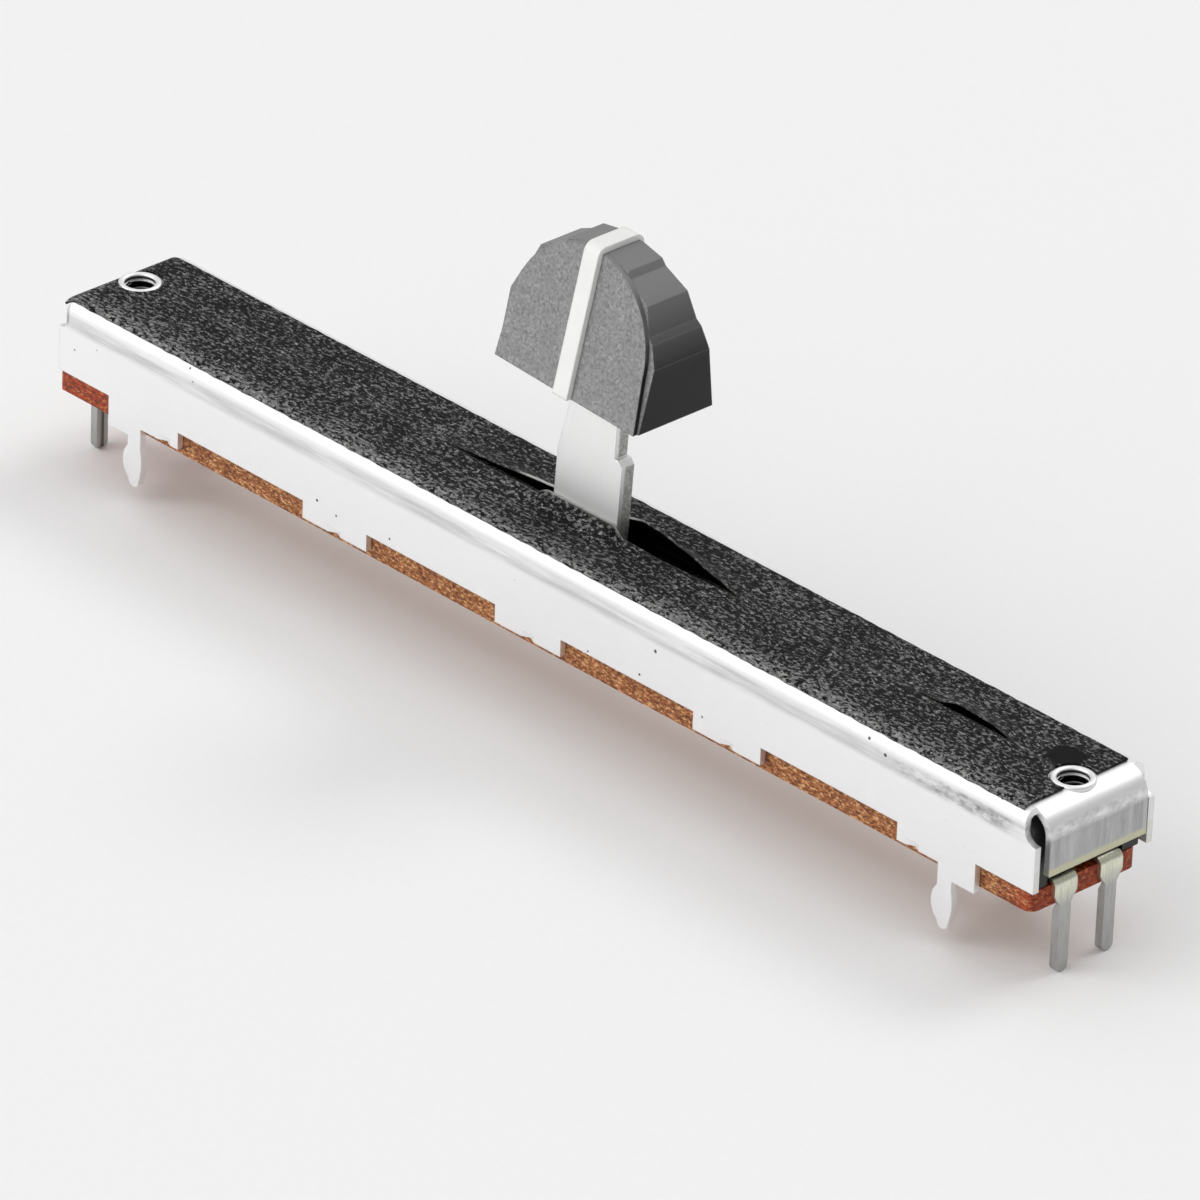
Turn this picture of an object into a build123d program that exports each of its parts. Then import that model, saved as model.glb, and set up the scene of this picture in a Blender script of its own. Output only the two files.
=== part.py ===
"""Slide potentiometer: a folded steel cover on a phenolic board, with a lever, a knob and dust lips.

X runs along the travel, towards the end with two terminals. Z is up.
The origin is under the middle of the body, level with the tips of the pins.
All sizes are in millimetres.
"""
from build123d import *
import math
import os

# Travel and body. Each end of the body is as long as the slider and the screw hole beside it need.
travel = 60.0
body_width = 8.6
cover_top = 10.0         # height of the cover's top face above the pin tips
sheet = 0.4
side_bend = 0.7          # outer radius of the two long bends
end_bend = 1.5           # outer radius of the bends to the end flaps

# Lever
lever_thickness = 0.9
lever_width = 4.8
lever_barb = 0.6         # how far the foot stands out on each side of the lever
lever_shoulder = 4.85    # height of the lever's shoulders above the cover's top face
lever_chamfer = 0.3
lever_slant = 3.6        # height at which the left side begins to slant in to the tongue
lever_slant_rise = 2.9
tongue_width = 3.6
tongue_grip = 5.0        # length of the tongue inside the knob
foot_height = 1.3
slider_lean = 3.3        # degrees: the lever and knob lean this much in their guides

# Slot and screw holes
slot_width = 1.8
slot_spare = 0.3         # slot left over beyond the lever at each end of its travel
screw_radius = 0.8       # tapping hole for M2
screw_flare = 1.25
flare_depth = 0.3
screw_inset = 2.0        # from the end of the body
collar_radius = 1.3
collar_depth = 1.2

# Board and its printed tracks
board_setback = 0.8      # from the right end of the body
board_tail = 0.7         # how much further the left end reaches, with a notch for its terminal
board_thickness = 1.2
board_drop = 4.75        # depth of the board's upper face below the cover's top face
board_corner = 0.6
print_thickness = 0.06
track_width = 1.8
contact_length = 3.0
contact_width = 2.1

# Lower edge of the long walls
window_rise = 0.3        # height of the window's upper edge above the board
tab_drop = 0.73          # depth of the tabs' lower edge below the board's upper face
foot_drop = 0.25         # depth of the feet below the board
wall_setback = 0.3       # from the end of the body
window_length = 10.0
window_pitch = 15.0
foot_inset = 4.4         # from the end of the body to the foot that carries a lug
lug_inset = 6.5
lug_neck = 1.0
lug_bulge_left = 0.88     # each lug swells more to its left
lug_bulge_right = 0.6
lug_low = 0.83           # height of the lugs' lowest points above the pin tips
lug_swell = 2.4          # length of the swollen part
lug_tip = 0.4            # radius of the lug's tip
stake_width = 1.0
stake_depth = 0.25
stake_height = 0.35
stake_to_lug = 2.4

# End flaps and the relief holes beside them
flap_gap = 0.4
flap_depth = 3.6
relief_radius = 0.75
relief_inset = 0.35
relief_drop = 1.05

# Terminals and their rivets
terminal_offset = 1.65   # each terminal's distance from the middle line
terminal_width = 1.6
terminal_thickness = 0.3
terminal_bend = 0.5
shoulder_drop = 0.65     # from the board's upper face to the top of the sloping shoulders
shoulder_height = 0.6
leg_width = 0.8
leg_depth = 0.5
leg_wall = 0.27
rivet_inset = 2.0        # from the end of the board
rivet_radius = 0.5
rivet_head = 0.8
rivet_head_height = 0.28

# Dust lips and end stops
lip_thickness = 0.15
lip_gap = 1.2            # clear way between the two straight lips
lip_hole_margin = 0.2    # between the lips and the rings of the screw holes
stop_setback = 0.45      # from the end flap
stop_thickness = 1.1
stop_leg_gap = 4.0
stop_bar_height = 1.2
stop_foot_height = 0.5

# Slider: carrier, brush and spring
brush_room = 0.8         # height of the carrier above the tracks, where the brush flexes
carrier_wall = 0.8       # beyond the lever's foot
carrier_floor = 0.6      # below the lever's foot
carrier_collar_gap = 0.4
carrier_roof_gap = 0.59
runner_height = 1.6
runner_width = 0.94
brush_thickness = 0.14
brush_side_gap = 0.1     # between the brush and the carrier's runners
brush_back = 3.1
brush_front = 2.6
brush_hinge = 0.3        # the fingers leave the plate this far behind the middle
brush_toe = 0.55         # length of each finger's upturned end
finger_width = 0.42
finger_pitch = 0.6
finger_count = 3
stud_radius = 0.42
stud_head = 0.72
stud_head_height = 0.2
stud_place = 1.9
spring_length = 6.0
spring_height = 1.0
spring_thickness = 0.15
pocket_depth = 0.7

# Knob and its pointer
knob_clear = 8.68        # height of the knob's lower face above the cover's top face
knob_width = 10.5
knob_draw = 0.25         # how much each side draws in, up to the round top
knob_height = 8.2
knob_depth = 5.6
knob_top_depth = 2.6
knob_wall = 0.9
knob_cavity = 4.6
cheek_thickness = 0.3
boss_width = 5.4
pointer_width = 1.1
pointer_proud = 0.3
pointer_sunk = 0.3
pointer_corner = 0.6
# Corners of the finger ribs: angle above the round top's centre, and how proud of it
rib_foot = 0.1
rib_corners = [(4.8, 0.44), (18.5, 0.19), (23, -0.02), (40.6, 0.3), (60, -0.09), (64.5, 0.15), (81.4, 0.04)]

# Clearances
running_gap = 0.06       # sliding faces
seat_gap = 0.02          # pieces that sit on each other
contact_gap = 0.05       # brush above its tracks
socket_gap = 0.03        # lever in the carrier and in the knob
board_gap = 0.05         # board inside the walls

# Lengths that follow from the sizes above, from the lever outwards
foot_width = lever_width + 2 * lever_barb
carrier_length = foot_width + 2 * carrier_wall
screw_place = travel / 2 + carrier_length / 2 + carrier_collar_gap + collar_radius
body_half = screw_place + screw_inset
wall_half = body_half - wall_setback
foot_end = body_half - foot_inset
lug_place = body_half - lug_inset
board_half = body_half - board_setback
rivet_place = board_half - rivet_inset
track_half_length = rivet_place - contact_length / 2
terminal_face = board_half + seat_gap + terminal_thickness
lip_half_length = body_half - end_bend
stop_face = body_half - sheet - stop_setback - stop_thickness
runner_length = 2 * (stop_face - contact_gap - travel / 2)

# Widths
wall_inside = body_width / 2 - sheet
flap_half = wall_inside - flap_gap
board_width = 2 * (wall_inside - board_gap)
guide_side = wall_inside - running_gap
runner_inside = guide_side - runner_width
brush_half = runner_inside - brush_side_gap
lip_side = body_width / 2 - side_bend

# Levels
roof = cover_top - sheet
board_top = cover_top - board_drop
board_bottom = board_top - board_thickness
wall_edge = board_top + window_rise
tab_edge = board_top - tab_drop
track_top = board_top + print_thickness
strip_bottom = track_top
strip_top = strip_bottom + terminal_thickness
shoulder_top = board_top - shoulder_drop
shoulder_bottom = shoulder_top - shoulder_height
lip_bottom = cover_top + seat_gap
lip_top = lip_bottom + lip_thickness
carrier_bottom = track_top + brush_room
carrier_top = roof - carrier_roof_gap
lever_root = carrier_bottom + carrier_floor


def block(x0, x1, y0, y1, z0, z1):
    """A box between two corners."""
    return Pos((x0 + x1) / 2, (y0 + y1) / 2, (z0 + z1) / 2) * Box(x1 - x0, y1 - y0, z1 - z0)


def along_y(face_lines, y0, y1):
    """A solid with its outline drawn in X and Z, from y0 to y1."""
    plane = Plane(origin=(0, y0, 0), x_dir=(1, 0, 0), z_dir=(0, -1, 0))
    return extrude(plane * make_face(face_lines), amount=-(y1 - y0))


def along_x(face_lines, x0, x1):
    """A solid with its outline drawn in Y and Z, from x0 to x1."""
    plane = Plane(origin=(x0, 0, 0), x_dir=(0, 1, 0), z_dir=(1, 0, 0))
    return extrude(plane * make_face(face_lines), amount=x1 - x0)


def post(x, y, radius, z0, z1):
    """An upright cylinder between two heights."""
    return Pos(x, y, (z0 + z1) / 2) * Cylinder(radius, z1 - z0)


def both_ends(piece):
    """The piece and its mirror image at the other end of the body."""
    return piece + mirror(piece, Plane.YZ)


def both_sides(piece):
    """The piece and its mirror image on the other long side."""
    return piece + mirror(piece, Plane.XZ)


def single(shape):
    """The one solid of a shape."""
    solids = shape.solids()
    if len(solids) != 1:
        raise ValueError("expected one solid, got %d" % len(solids))
    return solids[0]


def lug_outline(x):
    """A pointed lug that swells to hold itself in the circuit board's hole."""
    neck = lug_neck / 2
    root = wall_edge
    swell = lug_low + lug_swell
    middle = lug_low + lug_swell * 0.6
    tip = lug_low + lug_tip
    right = [
        Line((x + neck, root), (x + neck, swell)),
        ThreePointArc((x + neck, swell), (x + lug_bulge_right, middle), (x + lug_tip, tip)),
    ]
    left = [
        ThreePointArc((x - lug_tip, tip), (x - lug_bulge_left, middle), (x - neck, swell)),
        Line((x - neck, swell), (x - neck, root)),
    ]
    point = ThreePointArc((x + lug_tip, tip), (x, lug_low), (x - lug_tip, tip))
    top = Line((x - neck, root), (x + neck, root))
    return right + [point] + left + [top]


def stake(x, outer, depth, spare):
    """A three-sided wedge pressed inwards at the lower edge of a tab, on the front wall."""
    half = stake_width / 2 + spare
    wedge = Polyline((x - half, -outer), (x, -outer + depth + spare), (x + half, -outer), close=True)
    return Pos(0, 0, tab_edge - spare) * extrude(make_face(wedge), amount=stake_height + 2 * spare)


def stake_places():
    """Where the tabs are staked: the middle of each tab, and beside each lug."""
    beside = lug_place - stake_to_lug
    places = [0, beside, -beside]
    x = window_pitch
    while x + window_pitch / 2 + window_length / 2 < beside:
        places += [x, -x]
        x += window_pitch
    return places


def wall_pattern():
    """Everything of the long walls that is kept: the wall, its tabs, feet and lugs."""
    half = body_width / 2 + 1
    kept = block(-wall_half, wall_half, -half, half, wall_edge, cover_top + 1)
    kept += block(-foot_end, foot_end, -half, half, tab_edge, wall_edge)
    x = window_pitch / 2
    while x + window_length / 2 < lug_place - stake_to_lug:
        start = x - window_length / 2
        kept -= both_ends(block(start, start + window_length, -half, half, tab_edge - 1, wall_edge))
        x += window_pitch
    foot_start = lug_place + lug_neck / 2
    kept += both_ends(block(foot_start, foot_end, -half, half, board_bottom - foot_drop, wall_edge))
    for place in (-lug_place, lug_place):
        kept += along_y(lug_outline(place), -half, half)
    return kept


def bent_end():
    """The strip between the long bends, with its end folded down to the flap."""
    bottom = cover_top - flap_depth
    inner = end_bend - sheet
    start = body_half - end_bend - 1
    outer_x = body_half
    inner_x = body_half - sheet
    turn = math.sqrt(0.5)
    bend_x = body_half - end_bend
    bend_z = cover_top - end_bend
    outer_middle = (bend_x + end_bend * turn, bend_z + end_bend * turn)
    inner_middle = (bend_x + inner * turn, bend_z + inner * turn)
    lines = [
        Line((start, cover_top), (bend_x, cover_top)),
        ThreePointArc((bend_x, cover_top), outer_middle, (outer_x, bend_z)),
        Line((outer_x, bend_z), (outer_x, bottom)),
        Line((outer_x, bottom), (inner_x, bottom)),
        Line((inner_x, bottom), (inner_x, bend_z)),
        ThreePointArc((inner_x, bend_z), inner_middle, (bend_x, roof)),
        Line((bend_x, roof), (start, roof)),
        Line((start, roof), (start, cover_top)),
    ]
    return along_y(lines, -flap_half, flap_half)


def make_cover():
    """One strip of plated steel, blanked, pierced and folded to a channel with end flaps."""
    half = body_width / 2
    outside = block(-body_half, body_half, -half, half, -1, cover_top)
    outside = fillet(outside.edges().filter_by(Axis.X).group_by(Axis.Z)[-1], side_bend)
    inside = block(-body_half, body_half, -wall_inside, wall_inside, -2, roof)
    inside = fillet(inside.edges().filter_by(Axis.X).group_by(Axis.Z)[-1], side_bend - sheet)
    cover = (outside - inside) & wall_pattern()

    # The corners are relieved so that the long bends and the end bends don't tear each other
    bend_x = body_half - end_bend
    cover -= both_ends(block(bend_x, body_half, -flap_half, flap_half, roof - sheet, cover_top + 1))
    relief_x = body_half - relief_inset
    relief_z = cover_top - relief_drop
    hole = Pos(relief_x, 0, relief_z) * Rot(90, 0, 0) * Cylinder(relief_radius, body_width + 2)
    above = block(relief_x - relief_radius, body_half + 1, -half - 1, half + 1, relief_z, cover_top + 1)
    middle = block(0, body_half + 2, -flap_half, flap_half, -1, cover_top + 2)
    cover -= both_ends((hole + above) - middle)
    cover += both_ends(bent_end())

    # Slot for the lever
    slot_length = travel + lever_width + 2 * slot_spare
    cover -= Pos(0, 0, roof - 1) * extrude(SlotOverall(slot_length, slot_width), amount=sheet + 2)

    # Screw holes, pressed inwards to give the thread its length
    cover += both_ends(post(screw_place, 0, collar_radius, cover_top - collar_depth, roof))
    cover -= both_ends(post(screw_place, 0, screw_radius, 0, cover_top + 1))
    flare = Cone(screw_radius, screw_flare, flare_depth)
    cover -= both_ends(Pos(screw_place, 0, cover_top - flare_depth / 2) * flare)

    # Stakes that hold the board
    for x in stake_places():
        cover -= both_sides(stake(x, half, stake_depth, 0))
        cover += both_sides(stake(x, wall_inside + sheet / 4, stake_depth + sheet / 4, 0))
    return single(cover)


def rivet_places():
    """The three terminals: their end, as a sign, and their side offset."""
    return {
        "left": (-1, -terminal_offset),
        "right_front": (1, -terminal_offset),
        "right_rear": (1, terminal_offset),
    }


def make_board():
    """Phenolic board with rivet holes, nicks for the cover's stakes and a notch in its longer left end."""
    left_end = -board_half - board_tail
    board = block(left_end, board_half, -board_width / 2, board_width / 2, board_bottom, board_top)
    board = fillet(board.edges().filter_by(Axis.Z).group_by(Axis.X)[-1], board_corner)
    notch = terminal_width / 2 + board_gap
    left_y = rivet_places()["left"][1]
    board -= block(left_end - 1, -board_half, left_y - notch, left_y + notch, board_bottom - 1, board_top + 1)
    for x in stake_places():
        board -= both_sides(stake(x, wall_inside, stake_depth, seat_gap))
    for end, y in rivet_places().values():
        board -= post(end * rivet_place, y, rivet_radius + seat_gap, board_bottom - 1, board_top + 1)
    return single(board)


def flat_print(x0, x1, y, width):
    """A printed layer on the board."""
    return block(x0, x1, y - width / 2, y + width / 2, board_top, track_top)


def rivet_hole(end, y):
    """The way through a print or a terminal for its rivet."""
    return post(end * rivet_place, y, rivet_radius + seat_gap, board_bottom - 1, cover_top)


def make_prints():
    """Carbon track, silver collector track and the silver contacts at the carbon track's ends."""
    y = terminal_offset
    end = track_half_length + contact_length
    carbon = flat_print(-track_half_length + seat_gap, track_half_length - seat_gap, -y, track_width)
    collector = flat_print(-track_half_length, end, y, track_width) - rivet_hole(1, y)
    right = flat_print(track_half_length, end, -y, contact_width) - rivet_hole(1, -y)
    left = flat_print(-end, -track_half_length, -y, contact_width) - rivet_hole(-1, -y)
    return {
        "resistive_track": single(carbon),
        "collector_track": single(collector),
        "contact_print_left": single(left),
        "contact_print_right": single(right),
    }


def make_terminal(end, y):
    """A blanked strip: a ring on the rivet, a bend over the board's end and a folded leg."""
    inner_x = terminal_face - terminal_thickness
    half = terminal_width / 2
    strip = block(rivet_place, terminal_face, -half, half, strip_bottom, strip_top)
    strip += block(inner_x, terminal_face, -half, half, shoulder_top, strip_top)
    outer_edge = strip.edges().filter_by(Axis.Y).sort_by(Axis.Z)[-2:].sort_by(Axis.X)[-1]
    strip = fillet(outer_edge, terminal_bend)
    strip += post(rivet_place, 0, half, strip_bottom, strip_top)

    # Sloping shoulders down to the leg, whose two edges are folded back towards the body
    leg = leg_width / 2
    shoulders = Polyline(
        (-half, shoulder_top), (-leg, shoulder_bottom), (leg, shoulder_bottom), (half, shoulder_top),
        close=True,
    )
    strip += along_x(shoulders, inner_x, terminal_face)
    web_tip = [
        Line((-leg, shoulder_bottom), (-leg, leg)),
        ThreePointArc((-leg, leg), (0, 0), (leg, leg)),
        Line((leg, leg), (leg, shoulder_bottom)),
        Line((leg, shoulder_bottom), (-leg, shoulder_bottom)),
    ]
    back = terminal_face - leg_depth
    tip = leg_depth * 0.5
    fold = [
        Line((terminal_face, 0), (terminal_face, shoulder_bottom)),
        Line((terminal_face, shoulder_bottom), (inner_x, shoulder_bottom)),
        Line((inner_x, shoulder_bottom), (back, board_bottom - leg_depth)),
        Line((back, board_bottom - leg_depth), (back, tip)),
        ThreePointArc((back, tip), (back + tip * 0.25, tip * 0.3), (back + tip, 0)),
        Line((back + tip, 0), (terminal_face, 0)),
    ]
    folded = along_x(web_tip, back, terminal_face) & along_y(fold, -leg, leg)
    groove = leg - leg_wall
    folded -= block(back - 1, inner_x, -groove, groove, -1, shoulder_bottom)
    strip += folded
    terminal = strip - rivet_hole(1, 0)
    if end < 0:
        terminal = mirror(terminal, Plane.YZ)
    return single(Pos(0, y, 0) * terminal)


def make_rivet(end, y):
    """Rivet that holds a terminal and its print to the board."""
    x = end * rivet_place
    shank = post(x, y, rivet_radius, board_bottom, strip_top)
    upper = post(x, y, rivet_head, strip_top, strip_top + rivet_head_height)
    upper = fillet(upper.edges().sort_by(Axis.Z)[-1], rivet_head_height * 0.8)
    lower = post(x, y, rivet_head, board_bottom - rivet_head_height, board_bottom)
    lower = fillet(lower.edges().sort_by(Axis.Z)[0], rivet_head_height * 0.8)
    return single(shank + upper + lower)


def make_lip(side):
    """One of two strips of film on the cover, whose inner edges meet over the slot as the dust lips."""
    lip = block(-lip_half_length, lip_half_length, lip_gap / 2, lip_side, lip_bottom, lip_top)
    hole_radius = screw_flare + lip_hole_margin
    lip -= both_ends(post(screw_place, 0, hole_radius, lip_bottom - 1, lip_top + 1))
    if side < 0:
        lip = mirror(lip, Plane.XZ)
    return single(lip)


def make_end_stop(end):
    """Moulded stop at the end of the travel: it stands on the board and holds up the cover."""
    x0 = stop_face
    x1 = x0 + stop_thickness
    half = wall_inside - seat_gap
    gap = stop_leg_gap / 2
    bar_bottom = board_top + stop_foot_height
    top = roof - seat_gap
    stop = block(x0, x1, -half, half, bar_bottom, top)
    stop = chamfer(stop.edges().filter_by(Axis.X).group_by(Axis.Z)[-1], side_bend - sheet)
    stop -= block(x0 - 1, x1 + 1, -gap, gap, bar_bottom + stop_bar_height, top + 1)
    foot = terminal_offset + contact_width / 2 + seat_gap
    stop += both_sides(block(x0, x1, foot, half, board_top + seat_gap, bar_bottom))
    top_edge = stop.edges().filter_by(Axis.Y).group_by(Axis.Z)[-1].group_by(Axis.X)[-1]
    stop = chamfer(top_edge, stop_thickness * 0.7)
    if end < 0:
        stop = mirror(stop, Plane.YZ)
    return single(stop)


def lean(piece):
    """The piece turned about the slot, as the lever leans in its guides."""
    return Pos(0, 0, cover_top) * Rot(0, slider_lean, 0) * Pos(0, 0, -cover_top) * piece


def upright_lever(spare):
    """The lever before it leans; spare is added all round for the pockets that hold it."""
    half = lever_thickness / 2 + spare
    root = lever_root - spare
    foot_top = root + foot_height + 2 * spare
    shoulder = cover_top + lever_shoulder + spare
    tip = cover_top + knob_clear + tongue_grip + spare
    foot = foot_width / 2 + spare
    body = lever_width / 2 + spare
    tongue = tongue_width / 2 + spare
    cut = lever_chamfer
    right = [
        (foot, root), (foot, foot_top), (body, foot_top), (body, shoulder - cut),
        (body - cut, shoulder), (tongue, shoulder), (tongue, tip - cut), (tongue - cut, tip),
    ]
    slant = cover_top + lever_slant
    left = [
        (cut - tongue, tip), (-tongue, tip - cut), (-tongue, slant + lever_slant_rise), (-body, slant),
        (-body, foot_top), (-foot, foot_top), (-foot, root),
    ]
    return along_y(Polyline(*right, *left, close=True), -half, half)


def make_lever():
    """Blanked steel lever: a barbed foot, a stem with one shoulder and one slant, and the knob's tongue."""
    return single(lean(upright_lever(0)))


def make_carrier():
    """Moulded carrier: a block between two runners, with the lever's foot and the brush studs."""
    half = carrier_length / 2
    inner = runner_inside
    top = roof - running_gap
    carrier = block(-half, half, -guide_side, guide_side, carrier_bottom, carrier_top)
    corner = side_bend - sheet
    pad = block(-half, half, inner, guide_side, carrier_bottom, top)
    pad = chamfer(pad.edges().filter_by(Axis.X).group_by(Axis.Z)[-1].sort_by(Axis.Y)[-1], corner)
    runner_bottom = board_top + running_gap
    runner_half = runner_length / 2
    runner_top = runner_bottom + runner_height
    runner = block(-runner_half, runner_half, inner, guide_side, runner_bottom, runner_top)
    runner = chamfer(runner.edges().filter_by(Axis.Y).group_by(Axis.Z)[-1], runner_height * 0.4)
    carrier += both_sides(pad + runner)

    # Pocket for the leaf spring, in the rear side
    pocket_top = carrier_top - running_gap
    pocket = block(
        -spring_length / 2 - running_gap, spring_length / 2 + running_gap,
        guide_side - pocket_depth, guide_side + 1,
        pocket_top - spring_height - 2 * running_gap, pocket_top,
    )
    carrier -= pocket

    # Studs headed over the brush, then the pocket of the lever's foot
    for y in (-stud_place, stud_place):
        plate_bottom = carrier_bottom - brush_thickness - 2 * seat_gap
        stud = post(-stud_place, y, stud_radius, plate_bottom, carrier_bottom)
        head = post(-stud_place, y, stud_head, plate_bottom - stud_head_height, plate_bottom)
        carrier += stud + head
    carrier -= lean(upright_lever(socket_gap))
    return single(carrier)


def make_brush():
    """Springy contact sheet: a plate on the carrier's studs and a group of fingers for each track."""
    top = carrier_bottom - seat_gap
    bottom = top - brush_thickness
    brush = block(-brush_back, -brush_hinge, -brush_half, brush_half, bottom, top)
    for y in (-stud_place, stud_place):
        brush -= post(-stud_place, y, stud_radius + seat_gap, bottom - 1, top + 1)
    low = track_top + contact_gap
    touch = brush_front - brush_toe
    t = brush_thickness
    finger = Polyline(
        (-brush_hinge - t, top), (-brush_hinge - t, bottom), (-brush_hinge, bottom),
        (touch, low), (brush_front, low + 2 * t), (brush_front, low + 3 * t),
        (touch, low + t), (-brush_hinge + t, top),
        close=True,
    )
    middle = (finger_count - 1) / 2
    for track in (-terminal_offset, terminal_offset):
        for i in range(finger_count):
            y = track + (i - middle) * finger_pitch
            brush += along_y(finger, y - finger_width / 2, y + finger_width / 2)
    return single(brush)


def make_drag_spring():
    """Bowed leaf that presses on the rear wall and gives the slider its steady drag."""
    half = spring_length / 2
    floor = guide_side - pocket_depth + seat_gap
    crest = guide_side - seat_gap
    t = spring_thickness
    lines = [
        ThreePointArc((-half, floor + t), (0, crest), (half, floor + t)),
        Line((half, floor + t), (half, floor)),
        ThreePointArc((half, floor), (0, crest - t), (-half, floor)),
        Line((-half, floor), (-half, floor + t)),
    ]
    bottom = carrier_top - 2 * running_gap - spring_height
    return single(Pos(0, 0, bottom) * extrude(make_face(lines), amount=spring_height))


def knob_wedge(shrink, grow_top, x_half, bottom):
    """A block that tapers upwards like the knob; shrink is taken from its front and rear."""
    slope = (knob_depth - knob_top_depth) / 2 / knob_height
    top = knob_height + grow_top
    low_half = knob_depth / 2 - shrink - slope * bottom
    top_half = knob_depth / 2 - shrink - slope * top
    corners = [(-low_half, bottom), (low_half, bottom), (top_half, top), (-top_half, top)]
    return along_x(Polyline(*corners, close=True), -x_half, x_half)


def arch():
    """The knob's front outline: two sides that draw in, under a round top."""
    side = knob_width / 2
    crown = side - knob_draw
    centre = knob_height - crown
    return [
        Line((-side, 0), (side, 0)),
        Line((side, 0), (crown, centre)),
        ThreePointArc((crown, centre), (0, knob_height), (-crown, centre)),
        Line((-crown, centre), (-side, 0)),
    ]


def rib_outline():
    """The stepped outline of the finger ribs on the knob's two ends."""
    crown = knob_width / 2 - knob_draw
    centre = knob_height - crown
    right = [(knob_width / 2 + rib_foot, 0)]
    for angle, proud in rib_corners:
        turn = math.radians(angle)
        right.append(((crown + proud) * math.cos(turn), centre + (crown + proud) * math.sin(turn)))
    left = [(-x, z) for x, z in reversed(right)]
    return Polyline(*right, *left, close=True)


def knob_place(piece):
    """The knob's own frame moved onto the leaning lever."""
    return lean(Pos(0, 0, cover_top + knob_clear) * piece)


def make_knob():
    """Moulded push-on knob: a smooth front cheek on a tapering ribbed body, hollow from below."""
    reach = knob_width
    depth = knob_depth
    behind = Pos(0, cheek_thickness, 0) * knob_wedge(0, 2, reach, -1)
    cheek = along_y(arch(), -depth, depth) & (knob_wedge(0, 1, reach, 0) - behind)
    ribs = along_y(rib_outline(), -depth, depth)
    ribs &= Pos(0, cheek_thickness / 2, 0) * knob_wedge(cheek_thickness / 2, 1, reach, 0)
    knob = cheek + ribs

    # Hollow underside with the boss that grips the tongue
    cavity_x = knob_width / 2 - knob_wall
    cavity_y = (knob_depth - (knob_depth - knob_top_depth) * knob_cavity / knob_height) / 2 - knob_wall
    cavity = block(-cavity_x, cavity_x, -cavity_y, cavity_y, -1, knob_cavity)
    boss = block(-boss_width / 2, boss_width / 2, -depth, depth, -2, knob_cavity + 1)
    knob -= cavity - boss

    # Groove for the pointer
    groove = pointer_width / 2 + seat_gap
    sunk = pointer_sunk + seat_gap
    knob -= knob_wedge(-1, 2, groove, -1) - knob_wedge(sunk, -sunk, groove + 1, -2)
    placed = knob_place(knob)
    return single(placed - lean(upright_lever(socket_gap)))


def make_pointer():
    """White pointer line, moulded into a groove over the knob's front, top and rear."""
    half = pointer_width / 2
    outer = knob_wedge(-pointer_proud, pointer_proud, half, 0)
    outer = fillet(outer.edges().filter_by(Axis.X).group_by(Axis.Z)[-1], pointer_corner)
    inner = knob_wedge(pointer_sunk, -pointer_sunk, 1, -1)
    return single(knob_place(outer - inner))


def make_parts():
    """Every piece of the potentiometer, by name."""
    parts = {"cover": make_cover(), "board": make_board()}
    parts.update(make_prints())
    for name, (end, y) in rivet_places().items():
        parts["terminal_" + name] = make_terminal(end, y)
        parts["rivet_" + name] = make_rivet(end, y)
    parts["dust_lip_front"] = make_lip(-1)
    parts["dust_lip_rear"] = make_lip(1)
    parts["end_stop_left"] = make_end_stop(-1)
    parts["end_stop_right"] = make_end_stop(1)
    parts["slider_carrier"] = make_carrier()
    parts["wiper_brush"] = make_brush()
    parts["drag_spring"] = make_drag_spring()
    parts["lever"] = make_lever()
    parts["knob"] = make_knob()
    parts["knob_pointer"] = make_pointer()
    return parts


os.makedirs("parts", exist_ok=True)
for name, solid in make_parts().items():
    export_step(solid, "parts/" + name + ".step")
    box = solid.bounding_box()
    print("%-20s %8.2f mm3  z %6.2f to %6.2f" % (name, solid.volume, box.min.Z, box.max.Z))
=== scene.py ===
"""Slide potentiometer with its knob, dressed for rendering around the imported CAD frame.

Lengths are written in millimetres and turned to metres where a mesh or a node takes them.
"""
import math

import bmesh
import bpy
from mathutils import Matrix, Vector, noise


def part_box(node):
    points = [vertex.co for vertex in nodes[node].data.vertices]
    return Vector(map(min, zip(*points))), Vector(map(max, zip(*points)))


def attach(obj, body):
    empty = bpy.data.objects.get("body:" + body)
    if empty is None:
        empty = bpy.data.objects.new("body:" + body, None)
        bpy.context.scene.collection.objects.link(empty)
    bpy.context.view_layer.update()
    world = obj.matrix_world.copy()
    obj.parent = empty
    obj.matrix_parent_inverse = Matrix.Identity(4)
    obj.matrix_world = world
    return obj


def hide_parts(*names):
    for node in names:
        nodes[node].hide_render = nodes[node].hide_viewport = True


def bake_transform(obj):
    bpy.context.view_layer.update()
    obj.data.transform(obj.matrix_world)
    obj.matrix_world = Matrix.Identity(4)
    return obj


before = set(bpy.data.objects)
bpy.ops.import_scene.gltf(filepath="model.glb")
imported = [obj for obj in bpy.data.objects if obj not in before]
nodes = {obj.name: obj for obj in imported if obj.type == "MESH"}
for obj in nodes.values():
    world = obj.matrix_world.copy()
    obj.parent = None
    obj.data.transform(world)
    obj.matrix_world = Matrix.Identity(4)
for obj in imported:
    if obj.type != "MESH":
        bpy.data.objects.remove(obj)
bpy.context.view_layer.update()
cover_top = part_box("cover")[1][2] * 1000

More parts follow.
